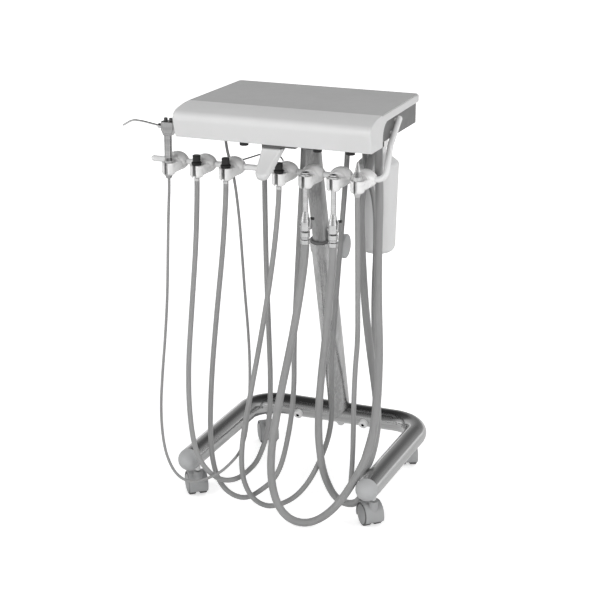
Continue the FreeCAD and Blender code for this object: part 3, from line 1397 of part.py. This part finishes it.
def build_hoses():
    glands = []
    for number, (radius, points) in HOSES.items():
        end = points[-1]
        rim = radius + mm.gland_rim
        glands.append(turned(f"gland_{number}", [
            (0, 0), (rim - 1.0, 0), (rim, 2.0), (rim, mm.gland_drop),
            (size_of(radius), mm.gland_drop), (size_of(radius), mm.gland_drop + mm.gland_spigot),
            (0, mm.gland_drop + mm.gland_spigot)], end[0], end[1], mm.chassis_bottom - mm.gland_drop))
        source = mm.adapter_bottom if INSTRUMENTS[number - 1] == "evacuator" else mm.hose_top
        route = fitted_route([to_vector(point) for point in points],
                             to_vector((HOLDER_X[number - 1], -mm.cup_y, source)),
                             to_vector((end[0], end[1], mm.chassis_bottom - mm.gland_drop)))
        build_cord(f"hose_{number}", route, radius)
    group("hose_glands", glands)
    build_cord("signal_tube", signal_route(), float(mm.signal_radius))


def build_cord(name, points, radius):
    radii = bend_radii(points)
    thing = rod(name, points, radii, radius)
    node(name, thing)
    length = route_wire(points, radii).Length
    expected = math.pi * radius * radius * length
    print(f"{name}: length {length:.0f}, radii {min(radii):.0f} to {max(radii):.0f},"
          f" volume / (section x length) {thing.Shape.Volume / expected:.4f}")


# ---------------------------------------------------------------- whole unit
def build_unit():
    build_base_tube()
    build_end_caps()
    build_utility_inlets()
    build_caster_stems()
    for (name, heading), (x, y) in zip(CASTERS.items(), stem_places()):
        build_caster(name, x, y, heading)
    build_lower_post()
    build_post_bushing()
    build_post_bolt()
    build_upper_post()
    build_lock_knob()
    build_cover()
    build_work_surface()
    build_chassis()
    build_head_bracket()
    build_screws()
    build_handle()
    build_handle_plate()
    build_flow_controls()
    build_holder_bar()
    for number, x in enumerate(HOLDER_X, start=1):
        build_holder(number, size_of(x))
    build_handpiece_ends()
    build_syringe()
    for number, x in holders_of("evacuator"):
        build_evacuator(number, x)
    build_adapters()
    build_saliva_ejector()
    build_bottle()
    build_hoses()


def check_document():
    """Stops on a failed object, an empty or invalid shape and a cut that removed nothing."""
    faults = []
    for thing in doc.Objects:
        if "Invalid" in thing.State or "Error" in thing.State:
            faults.append(f"{thing.Name}: {thing.State}")
        if thing.TypeId in ("PartDesign::Pocket", "PartDesign::Groove"):
            if thing.Shape.Volume > thing.BaseFeature.Shape.Volume - 0.01:
                faults.append(f"{thing.Name} cuts nothing")
    for label, thing in NODES.items():
        if thing.Shape.isNull() or not thing.Shape.isValid() or not thing.Shape.Solids:
            faults.append(f"{label}: bad shape")
    if faults:
        raise RuntimeError("; ".join(faults))


build_unit()
doc.recompute()
check_document()
os.makedirs("parts", exist_ok=True)
for label, thing in NODES.items():
    thing.Shape.exportStep(f"parts/{label}.step")
print(len(NODES), "nodes,", sum(len(thing.Shape.Solids) for thing in NODES.values()), "solids")
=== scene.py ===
"""Portable dental unit: hoses, finishes, floor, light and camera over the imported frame.

Lengths are in metres and angles in degrees, in the frame of the solids: -Y is the front and Z is up.
"""

import math

import bpy
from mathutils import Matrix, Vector


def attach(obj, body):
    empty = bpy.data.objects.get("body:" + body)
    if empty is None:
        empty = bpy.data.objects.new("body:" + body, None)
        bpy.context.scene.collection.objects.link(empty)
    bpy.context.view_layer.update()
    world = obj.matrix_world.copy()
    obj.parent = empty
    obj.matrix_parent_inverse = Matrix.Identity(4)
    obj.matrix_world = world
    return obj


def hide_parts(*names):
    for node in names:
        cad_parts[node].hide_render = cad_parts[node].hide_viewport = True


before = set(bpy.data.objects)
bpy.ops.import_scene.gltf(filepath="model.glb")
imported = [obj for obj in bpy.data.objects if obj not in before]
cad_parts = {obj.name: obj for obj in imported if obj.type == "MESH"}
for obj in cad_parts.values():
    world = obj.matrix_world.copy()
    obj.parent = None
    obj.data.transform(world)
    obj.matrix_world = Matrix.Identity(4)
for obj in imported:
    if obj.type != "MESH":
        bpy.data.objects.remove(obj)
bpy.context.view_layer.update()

# ---------------------------------------------------------------- camera

EYE = (1.2305, -3.0804, 1.5171)
HEADING = 22.233
DOWNWARD = 18.191
FOCAL_LENGTH = 97.38         # in millimetres, as the sensor
SENSOR = 36.0
SIGHT = 60.0                 # beyond the floor's far corners


def make_camera():
    """Looks back and to the left, down on the head."""
    data = bpy.data.cameras.new("view")
    data.sensor_width = SENSOR
    data.lens = FOCAL_LENGTH
    data.clip_end = SIGHT
    camera = bpy.data.objects.new("view", data)
    camera.location = EYE
    camera.rotation_euler = (math.radians(90.0 - DOWNWARD), 0.0, math.radians(HEADING))
    bpy.context.scene.collection.objects.link(camera)
    bpy.context.scene.camera = camera


# ---------------------------------------------------------------- hoses

# name: diameter, real length, what is on the far end, the pieces there, the line from there to the head
HOSES = {
    "hose_1": (0.006, 1.50, "tool", ("syringe_body", "syringe_nozzle"), (
        (-0.2516, -0.168, 0.712), (-0.2516, -0.168, 0.690), (-0.255, -0.169, 0.630),
        (-0.257, -0.172, 0.545), (-0.258, -0.177, 0.459), (-0.262, -0.183, 0.374),
        (-0.267, -0.192, 0.289), (-0.267, -0.206, 0.206), (-0.252, -0.224, 0.132),
        (-0.226, -0.239, 0.092), (-0.199, -0.246, 0.075), (-0.170, -0.245, 0.073),
        (-0.1362, -0.237, 0.0864), (-0.1124, -0.214, 0.1002), (-0.0855, -0.175, 0.1382),
        (-0.0888, -0.140, 0.2131), (-0.094, -0.121, 0.296), (-0.101, -0.113, 0.381),
        (-0.110, -0.109, 0.466), (-0.118, -0.103, 0.549), (-0.128, -0.095, 0.635),
        (-0.142, -0.089, 0.718), (-0.161, -0.085, 0.770), (-0.161, -0.085, 0.800))),
    "hose_2": (0.011, 1.46, "connector", ("handpiece_connectors", "connector_caps"), (
        (-0.1877, -0.168, 0.712), (-0.1877, -0.168, 0.690), (-0.190, -0.174, 0.578),
        (-0.195, -0.190, 0.444), (-0.197, -0.211, 0.309), (-0.187, -0.227, 0.204),
        (-0.171, -0.233, 0.134), (-0.1491, -0.227, 0.095), (-0.1232, -0.212, 0.0711),
        (-0.0968, -0.193, 0.0697), (-0.0761, -0.174, 0.0862), (-0.0596, -0.156, 0.1085),
        (-0.0438, -0.139, 0.1741), (-0.046, -0.121, 0.263), (-0.057, -0.106, 0.394),
        (-0.066, -0.096, 0.528), (-0.071, -0.089, 0.664), (-0.074, -0.083, 0.772),
        (-0.074, -0.083, 0.800))),
    "hose_3": (0.011, 1.54, "connector", ("handpiece_connectors", "connector_caps"), (
        (-0.1227, -0.168, 0.712), (-0.1227, -0.168, 0.690), (-0.131, -0.169, 0.574),
        (-0.147, -0.170, 0.434), (-0.160, -0.173, 0.296), (-0.164, -0.178, 0.178),
        (-0.158, -0.183, 0.104), (-0.143, -0.185, 0.0557), (-0.1154, -0.185, 0.029),
        (-0.0798, -0.183, 0.0235), (-0.0499, -0.178, 0.0435), (-0.0138, -0.169, 0.0782),
        (0.0014, -0.154, 0.136), (0.0135, -0.135, 0.251), (0.006, -0.118, 0.379),
        (0.009, -0.107, 0.519), (0.012, -0.097, 0.660), (0.016, -0.090, 0.772),
        (0.016, -0.090, 0.800))),
    "hose_4": (0.011, 1.56, "connector", ("handpiece_connectors", "connector_caps"), (
        (-0.0057, -0.168, 0.712), (-0.0057, -0.168, 0.690), (-0.017, -0.170, 0.571),
        (-0.038, -0.175, 0.429), (-0.0612, -0.184, 0.2896), (-0.0817, -0.195, 0.1638),
        (-0.0808, -0.202, 0.0908), (-0.0624, -0.203, 0.0439), (-0.032, -0.200, 0.0228),
        (0.0004, -0.194, 0.0263), (0.0364, -0.172, 0.0459), (0.0664, -0.147, 0.0948),
        (0.0958, -0.121, 0.1926), (0.0829, -0.102, 0.3114), (0.089, -0.093, 0.455),
        (0.095, -0.084, 0.580), (0.101, -0.078, 0.690), (0.105, -0.073, 0.772),
        (0.105, -0.073, 0.800))),
    "hose_5": (0.0165, 1.49, "tool", ("evacuator_5", "evacuator_adapters"), (
        (0.0517, -0.168, 0.604), (0.0517, -0.168, 0.575), (0.032, -0.179, 0.422),
        (0.003, -0.198, 0.258), (-0.008, -0.216, 0.146), (0.001, -0.226, 0.074), (0.025, -0.231, 0.029),
        (0.062, -0.231, 0.013), (0.1009, -0.224, 0.0217), (0.1404, -0.213, 0.0575),
        (0.1768, -0.199, 0.121), (0.2018, -0.180, 0.187), (0.2065, -0.168, 0.2447),
        (0.2075, -0.160, 0.2815), (0.2072, -0.154, 0.3212), (0.2051, -0.145, 0.3928),
        (0.1966, -0.133, 0.4776), (0.1911, -0.122, 0.5824), (0.188, -0.109, 0.7057),
        (0.181, -0.100, 0.770), (0.181, -0.100, 0.800))),
    "hose_6": (0.016, 1.42, "tool", ("evacuator_6", "evacuator_adapters"), (
        (0.1115, -0.168, 0.604), (0.1115, -0.168, 0.575), (0.0959, -0.159, 0.430),
        (0.0787, -0.155, 0.2873), (0.0772, -0.159, 0.1965), (0.0817, -0.157, 0.1374),
        (0.0853, -0.147, 0.097), (0.0925, -0.134, 0.0615), (0.1052, -0.129, 0.0369),
        (0.1279, -0.129, 0.0261), (0.1523, -0.132, 0.0318), (0.168, -0.135, 0.0514),
        (0.169, -0.137, 0.082), (0.170, -0.138, 0.112), (0.1862, -0.137, 0.1352),
        (0.1971, -0.132, 0.1939), (0.1982, -0.128, 0.2419), (0.1904, -0.122, 0.2897),
        (0.1753, -0.112, 0.3591), (0.1611, -0.103, 0.4351), (0.1511, -0.095, 0.5093),
        (0.1425, -0.088, 0.6004), (0.1376, -0.083, 0.6765), (0.1447, -0.080, 0.7244),
        (0.160, -0.074, 0.770), (0.160, -0.074, 0.800))),
    "hose_7": (0.0106, 1.38, "tool", ("saliva_ejector",), (
        (0.162, -0.168, 0.712), (0.162, -0.168, 0.690), (0.163, -0.167, 0.6443),
        (0.1644, -0.165, 0.4977), (0.1651, -0.164, 0.4121), (0.1594, -0.162, 0.350),
        (0.1568, -0.161, 0.279), (0.1557, -0.159, 0.1888), (0.1535, -0.157, 0.1357),
        (0.1503, -0.153, 0.1038), (0.1478, -0.150, 0.0879), (0.145, -0.1372, 0.0724),
        (0.143, -0.1175, 0.0686), (0.1443, -0.0998, 0.0782), (0.1494, -0.089, 0.1024),
        (0.1566, -0.082, 0.1332), (0.1642, -0.078, 0.1651), (0.1695, -0.077, 0.1954),
        (0.1728, -0.074, 0.2493), (0.1693, -0.070, 0.3261), (0.164, -0.067, 0.4241),
        (0.1631, -0.065, 0.4998), (0.1655, -0.064, 0.5858), (0.163, -0.063, 0.6742),
        (0.146, -0.063, 0.729), (0.137, -0.063, 0.772), (0.137, -0.063, 0.800))),
    "signal_tube": (0.003, 0.095, "object", (), (
        (-0.098, -0.134, 0.757), (-0.084, -0.132, 0.762), (-0.068, -0.130, 0.768),
        (-0.051, -0.129, 0.774), (-0.036, -0.129, 0.776), (-0.024, -0.130, 0.774),
        (-0.016, -0.132, 0.769), (-0.011, -0.134, 0.763))),
}

HOSE_BEVEL = 5               # Blender's bevel resolution, more is rounder
HOSE_STEPS = 10              # straight steps from one point of the line to the next


def make_hose(name, diameter, length, far_end, pieces, points, finishes):
    """A round tube on a smooth line, in place of the node of that name."""
    data = bpy.data.curves.new(name + "_line", "CURVE")
    data.dimensions = "3D"
    data.bevel_depth = diameter / 2
    data.bevel_resolution = HOSE_BEVEL
    data.resolution_u = HOSE_STEPS
    data.use_fill_caps = True
    line = data.splines.new("NURBS")
    line.points.add(len(points) - 1)
    for point, place in zip(line.points, points):
        point.co = (*place, 1.0)
    line.order_u = 3
    line.use_endpoint_u = True
    data.materials.append(finishes["dark_rubber" if name == "signal_tube" else "hose"])
    hose = bpy.data.objects.new(name + "_tube", data)
    bpy.context.scene.collection.objects.link(hose)
    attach(hose, "head")
    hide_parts(name)


# ---------------------------------------------------------------- shader nodes

def gray(value, warmth=0.0):
    """A gray of that lightness, a little warmer or cooler."""
    return (value * (1 + warmth), value, value * (1 - warmth))


def opaque(colour):
    return (*colour, 1.0)


def feed(tree, entry, value):
    """Links an input to another node's output, or sets it to a value."""
    if isinstance(value, bpy.types.NodeSocket):
        tree.links.new(value, entry)
    else:
        entry.default_value = value


def add_node(tree, kind, inputs, **settings):
    """A shader node of that kind, with its settings made and its inputs fed."""
    made = tree.nodes.new("ShaderNode" + kind)
    for key, value in settings.items():
        setattr(made, key, value)
    for key, value in inputs.items():
        feed(tree, made.inputs[key], value)
    return made


def calculate(tree, operation, *values):
    return add_node(tree, "Math", dict(enumerate(values)), operation=operation).outputs[0]


def distance(tree, vector):
    """How far the end of the vector is from zero."""
    return add_node(tree, "VectorMath", {0: vector}, operation="LENGTH").outputs["Value"]


def ranged(tree, value, low, high, start, stop, **settings):
    """A number that goes from low to high while the value goes from start to stop."""
    inputs = {"Value": value, "From Min": start, "From Max": stop, "To Min": low, "To Max": high}
    return add_node(tree, "MapRange", inputs, **settings).outputs[0]


# ---------------------------------------------------------------- finishes

# patterns: how many waves to the metre, and how many finer ones are laid over them
DRIFT = (7.0, 5.0)
MARKS = (45.0, 4.0)
SMEARS = (11.0, 4.0)
SCUFFS = (120.0, 5.0)
WHEEL_GRAIN = 800.0
GRAIN_DETAIL = 2.0
LINE_DETAIL = 4.0
BAND_DETAIL = 2.0
NOISE_SPREAD = (0.3, 0.7)    # most of a pattern's values lie between these
BEVEL_SAMPLES = 4

# drawn metal: waves to the metre along X, Y and Z of the frame; lines run along the axis with the fewest
BASE_LINES = (4.0, 4.0, 200.0)
POST_LINES = (420.0, 420.0, 1.5)
BLOCK_LINES = (8.0, 300.0, 300.0)
RINGS_ABOUT_X = (900.0, 30.0, 30.0)
RINGS_ABOUT_Z = (30.0, 30.0, 900.0)
BAND_WIDTH = 7               # a band is this much wider than a line
TONE_SPREAD = (0.75, 1.25)   # most sums of two patterns lie between these
POST_TURN = 15.0             # of the post's pattern after its stretching: its lines still run along Z

# how far handling marks and smears take the roughness below and above its value
MARKS_BELOW, MARKS_ABOVE = 0.05, 0.08
SMEARS_ABOVE = 0.12

PAINT_EDGE = 0.0002          # the width of the edge between two colours
WHEEL_EDGE = 0.0003          # half that width on a wheel

# corner: the stem's place, and the caster's heading, 0 where its wheels trail towards -Y
CASTERS = {
    "FL": (-0.203, -0.161, 219.0),
    "FR": (0.203, -0.161, 224.0),
    "RL": (-0.17214, 0.16103, 215.0),
    "RR": (0.17214, 0.16103, 208.0),
}
CASTER_TRAIL = 0.016
WHEEL_RADIUS = 0.025
WHEEL_RIM = 0.021            # where the tread starts
DISC_ROUGHNESS, TREAD_ROUGHNESS = 0.4, 0.65

# the two inlets, whose bores get painted shade: the middle between them, half the distance, their bores'
# dip, and the bores' radius
INLETS_MIDDLE = (-0.013, 0.173, 0.103)
INLETS_HALF = 0.080
INLETS_DIP = 20.0
INLET_BORE = 0.0037

# evacuator lever: where its black grip starts, in X
GRIP_STARTS = {"lever_5": 0.0646, "lever_6": 0.1244}


class Finish:
    """A node material whose colour, roughness and relief follow patterns in the object's own space."""

    def __init__(self, name, **sockets):
        """The sockets have one value all over, and a name such as Coat_Weight."""
        self.name = name
        self.material = bpy.data.materials.new(name)
        self.material.use_nodes = True
        self.tree = self.material.node_tree
        self.surface = self.tree.nodes["Principled BSDF"]
        for socket, value in sockets.items():
            self.put(socket.replace("_", " "), value)
        self.space = self.node("TexCoord", {}).outputs["Object"]

    def node(self, kind, inputs, **settings):
        return add_node(self.tree, kind, inputs, **settings)

    def put(self, socket, value):
        feed(self.tree, self.surface.inputs[socket], value)

    def between(self, value, low, high, start, stop):
        """A number that goes smoothly from low to high while the value goes from start to stop."""
        return ranged(self.tree, value, low, high, start, stop, interpolation_type="SMOOTHSTEP")

    def noise(self, scale, detail, space=None):
        inputs = {"Vector": space or self.space, "Scale": scale, "Detail": detail}
        return self.node("TexNoise", inputs).outputs["Fac"]

    def patches(self, pattern, low=0.0, high=1.0):
        """A number that drifts between low and high over the surface."""
        return self.between(self.noise(*pattern), low, high, *NOISE_SPREAD)

    def stretched_noise(self, scales, detail, turn):
        """A pattern with its own scale along each axis of the frame, and then turned about X."""
        space = self.node("Mapping", {"Vector": self.space, "Scale": scales,
                                      "Rotation": (math.radians(turn), 0.0, 0.0)}).outputs[0]
        return self.noise(1.0, detail, space)

    def moved(self, centre, turn):
        """The object's space with another centre, and turned."""
        return self.node("Mapping", {"Vector": self.space, "Location": centre, "Rotation": turn},
                         vector_type="TEXTURE").outputs[0]

    def place(self, space=None):
        """Where the surface is in a space: its X, Y and Z."""
        return self.node("SeparateXYZ", {"Vector": space or self.space}).outputs

    def reach(self, **parts):
        """How far the surface is from an axis, by its two parts across it."""
        return distance(self.tree, self.node("CombineXYZ", parts).outputs[0])

    def shade(self, factor, dark, light):
        """A colour between two, by a factor from 0 to 1."""
        mixed = self.node("Mix", {"Factor": factor}, data_type="RGBA")
        sockets = {socket.identifier: socket for socket in (*mixed.inputs, *mixed.outputs)}
        for key, colour in (("A_Color", dark), ("B_Color", light)):
            linked = isinstance(colour, bpy.types.NodeSocket)
            feed(self.tree, sockets[key], colour if linked else opaque(colour))
        return sockets["Result_Color"]

    def paint(self, colour):
        self.colour = colour
        self.put("Base Color", colour)

    def paint_over(self, share, colour):
        """A second paint, without metal's shine, where the share goes from 0 to 1."""
        self.paint(self.shade(share, self.colour, colour))
        metal = self.surface.inputs["Metallic"].default_value
        if metal:
            self.put("Metallic", self.between(share, metal, 0.0, 0.0, 1.0))

    def relief(self, pattern, depth, edge):
        """Raises the surface by the pattern, and rounds sharp edges if edge says by how much."""
        inputs = {"Height": pattern, "Distance": depth}
        if edge:
            inputs["Normal"] = self.node("Bevel", {"Radius": edge}, samples=BEVEL_SAMPLES).outputs[0]
        self.put("Normal", self.node("Bump", inputs).outputs[0])


def moulded(name, colour, roughness, grain=900.0, depth=0.00006, edge=0.0008, mottle=0.05, **sockets):
    """Moulded plastic or paint: slow drifts of tone, a fine grain, and handling marks in the gloss."""
    finish = Finish(name, **sockets)
    darker = [part * (1 - mottle) for part in colour]
    finish.paint(finish.shade(finish.patches(DRIFT), darker, colour))
    finish.put("Roughness", finish.patches(MARKS, roughness - MARKS_BELOW, roughness + MARKS_ABOVE))
    finish.relief(finish.noise(grain, GRAIN_DETAIL), depth, edge)
    return finish


def drawn_metal(name, dark, light, roughness, scales, turn=0.0):
    """Metal tube or rod: fine lines from drawing and polishing, and soft smears."""
    finish = Finish(name, Metallic=1.0)
    lines = finish.stretched_noise(scales, LINE_DETAIL, turn)
    bands = finish.stretched_noise([scale / BAND_WIDTH for scale in scales], BAND_DETAIL, turn)
    tone = finish.between(calculate(finish.tree, "ADD", lines, bands), 0.0, 1.0, *TONE_SPREAD)
    finish.paint(finish.shade(tone, gray(dark), gray(light)))
    finish.put("Roughness", finish.patches(SMEARS, roughness, roughness + SMEARS_ABOVE))
    finish.relief(lines, depth=0.00003, edge=0.0005)
    return finish


def white_plastic(name):
    """Glossy white plastic under a thin clear coat."""
    return moulded(name, gray(0.84, 0.004), 0.24, mottle=0.03, Coat_Weight=0.3)


def bright(name, scales):
    """Bright turned metal, with rings around its axis."""
    return drawn_metal(name, 0.6, 0.68, 0.12, scales)


def inlets(name):
    """White bosses with painted shade, near black, inside their bores."""
    finish = white_plastic(name)
    place = finish.place(finish.moved(INLETS_MIDDLE, (math.radians(INLETS_DIP), 0.0, 0.0)))
    aside = calculate(finish.tree, "ABSOLUTE", place["X"])
    reach = finish.reach(X=calculate(finish.tree, "SUBTRACT", aside, INLETS_HALF), Z=place["Z"])
    # painted shade: near black inside each bore, where the deep hole lies in shade
    finish.paint_over(finish.between(reach, 1.0, 0.0, INLET_BORE - PAINT_EDGE, INLET_BORE), gray(0.02))
    return finish


def lever(name):
    """A bright rod with a black grip."""
    finish = bright(name, RINGS_ABOUT_X)
    start = GRIP_STARTS[name]
    grip = finish.between(finish.place()["X"], 0.0, 1.0, start - PAINT_EDGE, start)
    finish.paint_over(grip, gray(0.015))
    return finish


def wheel(corner):
    """A caster's wheels: gray discs inside dark treads, told apart by the distance from the axle."""
    x, y, heading = CASTERS[corner]
    turn = math.radians(heading)
    axle = (x + CASTER_TRAIL * math.sin(turn), y - CASTER_TRAIL * math.cos(turn), WHEEL_RADIUS)
    finish = Finish("wheel_" + corner, Specular_IOR_Level=0.4)
    place = finish.place(finish.moved(axle, (0.0, 0.0, turn)))
    reach = finish.reach(Y=place["Y"], Z=place["Z"])
    tread = finish.between(reach, 0.0, 1.0, WHEEL_RIM - WHEEL_EDGE, WHEEL_RIM + WHEEL_EDGE)
    rubber = finish.shade(finish.patches(SCUFFS), gray(0.1), gray(0.15))
    finish.paint(finish.shade(tread, gray(0.34, -0.01), rubber))
    finish.put("Roughness", finish.between(tread, DISC_ROUGHNESS, TREAD_ROUGHNESS, 0.0, 1.0))
    finish.relief(finish.noise(WHEEL_GRAIN, GRAIN_DETAIL), depth=0.0001, edge=0.0008)
    return finish


def make_finishes():
    """The material of every finish, by its name."""
    made = [
        drawn_metal("base_chrome", 0.46, 0.58, 0.12, BASE_LINES),
        drawn_metal("post_chrome", 0.44, 0.6, 0.2, POST_LINES, POST_TURN),
        drawn_metal("post_satin", 0.3, 0.44, 0.3, POST_LINES, POST_TURN),
        *(lever(name) for name in GRIP_STARTS),
        inlets("inlets"),
        bright("bright", RINGS_ABOUT_Z),
        moulded("cap_gray", gray(0.46, -0.01), 0.42, edge=0.0015),
        moulded("caster_gray", gray(0.36, -0.01), 0.38, edge=0.0012),
        moulded("black", gray(0.012), 0.36, mottle=0.3),
        moulded("bushing", gray(0.2), 0.4, mottle=0.1),
        moulded("button", gray(0.1), 0.36, mottle=0.2),
        white_plastic("white_plastic"),
        moulded("white_shell", gray(0.69), 0.34, grain=1400.0, mottle=0.03),
        moulded("white_paint", gray(0.82), 0.22, grain=500.0, depth=0.00003, mottle=0.03, Coat_Weight=0.4),
        moulded("dark_steel", gray(0.13), 0.45, mottle=0.15),
        moulded("chassis", gray(0.17), 0.4, grain=600.0, mottle=0.08),
        moulded("mat", gray(0.5), 0.62, grain=420.0, depth=0.00035, edge=0.0006),
        drawn_metal("syringe", 0.4, 0.52, 0.16, RINGS_ABOUT_Z),
        drawn_metal("block", 0.5, 0.6, 0.3, BLOCK_LINES),
        moulded("bottle", gray(0.79), 0.4, grain=160.0, depth=0.00008, mottle=0.03,
                Transmission_Weight=0.12, IOR=1.2),
        moulded("dark_rubber", gray(0.05), 0.55, mottle=0.2),
        moulded("hose", gray(0.3), 0.4, grain=260.0, depth=0.00005, edge=0.0, mottle=0.12,
                Sheen_Weight=0.2),
        *(wheel(corner) for corner in CASTERS),
    ]
    return {finish.name: finish.material for finish in made}


# node: its finish
FINISH_OF = {
    "base_tube": "base_chrome",
    "end_caps": "cap_gray",
    "caster_stems": "bright",
    "lower_post": "post_chrome",
    "post_bushing": "bushing",
    "post_bolt": "bright",
    "utility_inlets": "inlets",
    "lock_knob": "cap_gray",
    "upper_post": "post_satin",
    "head_bracket": "dark_steel",
    "screws": "bright",
    "chassis": "chassis",
    "cover": "white_shell",
    "work_surface": "mat",
    "handle": "white_shell",
    "handle_plate": "dark_steel",
    "control_block": "block",
    "holder_bar": "white_paint",
    "syringe_body": "syringe",
    "syringe_nozzle": "bright",
    "air_button": "button",
    "water_button": "button",
    "handpiece_connectors": "bright",
    "connector_caps": "black",
    "evacuator_5": "bright",
    "evacuator_6": "bright",
    "evacuator_lever_5": "lever_5",
    "evacuator_lever_6": "lever_6",
    "evacuator_adapters": "bright",
    "saliva_ejector": "bright",
    "bottle": "bottle",
    "bottle_cap": "white_plastic",
    "hose_glands": "dark_rubber",
}
HOLDERS = 7
FLOW_KNOBS = 3
for corner in CASTERS:
    FINISH_OF[f"caster_hood_{corner}"] = "caster_gray"
    FINISH_OF[f"caster_wheels_{corner}"] = f"wheel_{corner}"
for position in range(1, HOLDERS + 1):
    FINISH_OF[f"holder_{position}"] = "white_plastic"
for number in range(1, FLOW_KNOBS + 1):
    FINISH_OF[f"flow_knob_{number}"] = "black"


def dress_nodes(finishes):
    for name, finish in FINISH_OF.items():
        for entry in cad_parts[name].material_slots:
            entry.material = finishes[finish]


# ---------------------------------------------------------------- floor and light

FLOOR_HALF = 30.0
# its glow goes from low to high while the distance from its middle goes from start to stop
FLOOR_GLOW = {"low": 0.6, "high": 1.0, "start": 0.8, "stop": 4.0}
SEEN_IN_GLOSS = 0.25         # how much of that glow shows in gloss
SEEN_IN_GLASS = 1.0

# the room: the sine of the angle above the horizon, and how light it is there
SKY = ((0.0, 0.9), (0.06, 0.7), (0.16, 0.3), (0.4, 0.26), (0.62, 0.06), (1.0, 0.03))
# its strength goes from low to high while a direction's share to the side goes from start to stop
SKY_SIDES = {"low": 1.0, "high": 2.4, "start": 0.2, "stop": 0.9}

# lamp: its place, what it points at, power in watts
LAMPS = {
    "key": ((-1.6, -3.4, 2.6), (0.0, -0.1, 0.5), 88.0),
    "fill": ((3.0, -1.8, 1.9), (0.0, 0.0, 0.5), 60.0),
    "back": ((0.4, 2.8, 2.8), (0.0, 0.0, 0.6), 60.0),
}
LAMP_WIDTH = 2.4


def seen_plainly(tree):
    """1 on the rays of the camera and of glass, less on those of gloss, 0 on the rest."""
    rays = add_node(tree, "LightPath", {}).outputs
    total = rays["Is Camera Ray"]
    for ray, share in (("Is Glossy Ray", SEEN_IN_GLOSS), ("Is Transmission Ray", SEEN_IN_GLASS)):
        total = calculate(tree, "MAXIMUM", total, calculate(tree, "MULTIPLY", rays[ray], share))
    return total


def make_floor():
    """A wide pale floor that goes to white, apart from the object's soft shadow."""
    mesh = bpy.data.meshes.new("floor")
    corners = [(x * FLOOR_HALF, y * FLOOR_HALF, 0.0) for x, y in ((-1, -1), (1, -1), (1, 1), (-1, 1))]
    mesh.from_pydata(corners, [], [(0, 1, 2, 3)])
    floor = bpy.data.objects.new("floor", mesh)
    bpy.context.scene.collection.objects.link(floor)
    finish = Finish("floor", Base_Color=opaque(gray(0.8)), Roughness=0.9, Specular_IOR_Level=0.0,
                    Emission_Color=opaque(gray(1.0)))
    glow = ranged(finish.tree, distance(finish.tree, finish.space), **FLOOR_GLOW)
    finish.put("Emission Strength", calculate(finish.tree, "MULTIPLY", seen_plainly(finish.tree), glow))
    mesh.materials.append(finish.material)


def make_sky():
    """A dim room with a bright band at eye level, lighter to the sides."""
    world = bpy.data.worlds.new("room")
    world.use_nodes = True
    tree = world.node_tree
    direction = add_node(tree, "TexCoord", {}).outputs["Generated"]
    parts = add_node(tree, "SeparateXYZ", {"Vector": direction}).outputs
    shades = add_node(tree, "ValToRGB", {0: parts["Z"]})
    ramp = shades.color_ramp
    ramp.interpolation = "EASE"
    for element, (height, value) in zip(ramp.elements, (SKY[0], SKY[-1])):
        element.position = height
        element.color = opaque(gray(value))
    for height, value in SKY[1:-1]:
        ramp.elements.new(height).color = opaque(gray(value))
    background = tree.nodes["Background"].inputs
    feed(tree, background["Color"], shades.outputs[0])
    feed(tree, background["Strength"], ranged(tree, calculate(tree, "ABSOLUTE", parts["X"]), **SKY_SIDES))
    bpy.context.scene.world = world


def make_lamps():
    for name, (place, target, power) in LAMPS.items():
        data = bpy.data.lights.new(name, "AREA")
        data.size = LAMP_WIDTH
        data.energy = power
        lamp = bpy.data.objects.new(name, data)
        lamp.location = place
        lamp.visible_glossy = False
        aim = Vector(target) - Vector(place)
        lamp.rotation_euler = aim.to_track_quat("-Z", "Y").to_euler()
        bpy.context.scene.collection.objects.link(lamp)


# ---------------------------------------------------------------- the unit

make_camera()
finishes = make_finishes()
for name, facts in HOSES.items():
    make_hose(name, *facts, finishes)
dress_nodes(finishes)
make_floor()
make_sky()
make_lamps()

view_settings = bpy.context.scene.view_settings
view_settings.view_transform = "Standard"
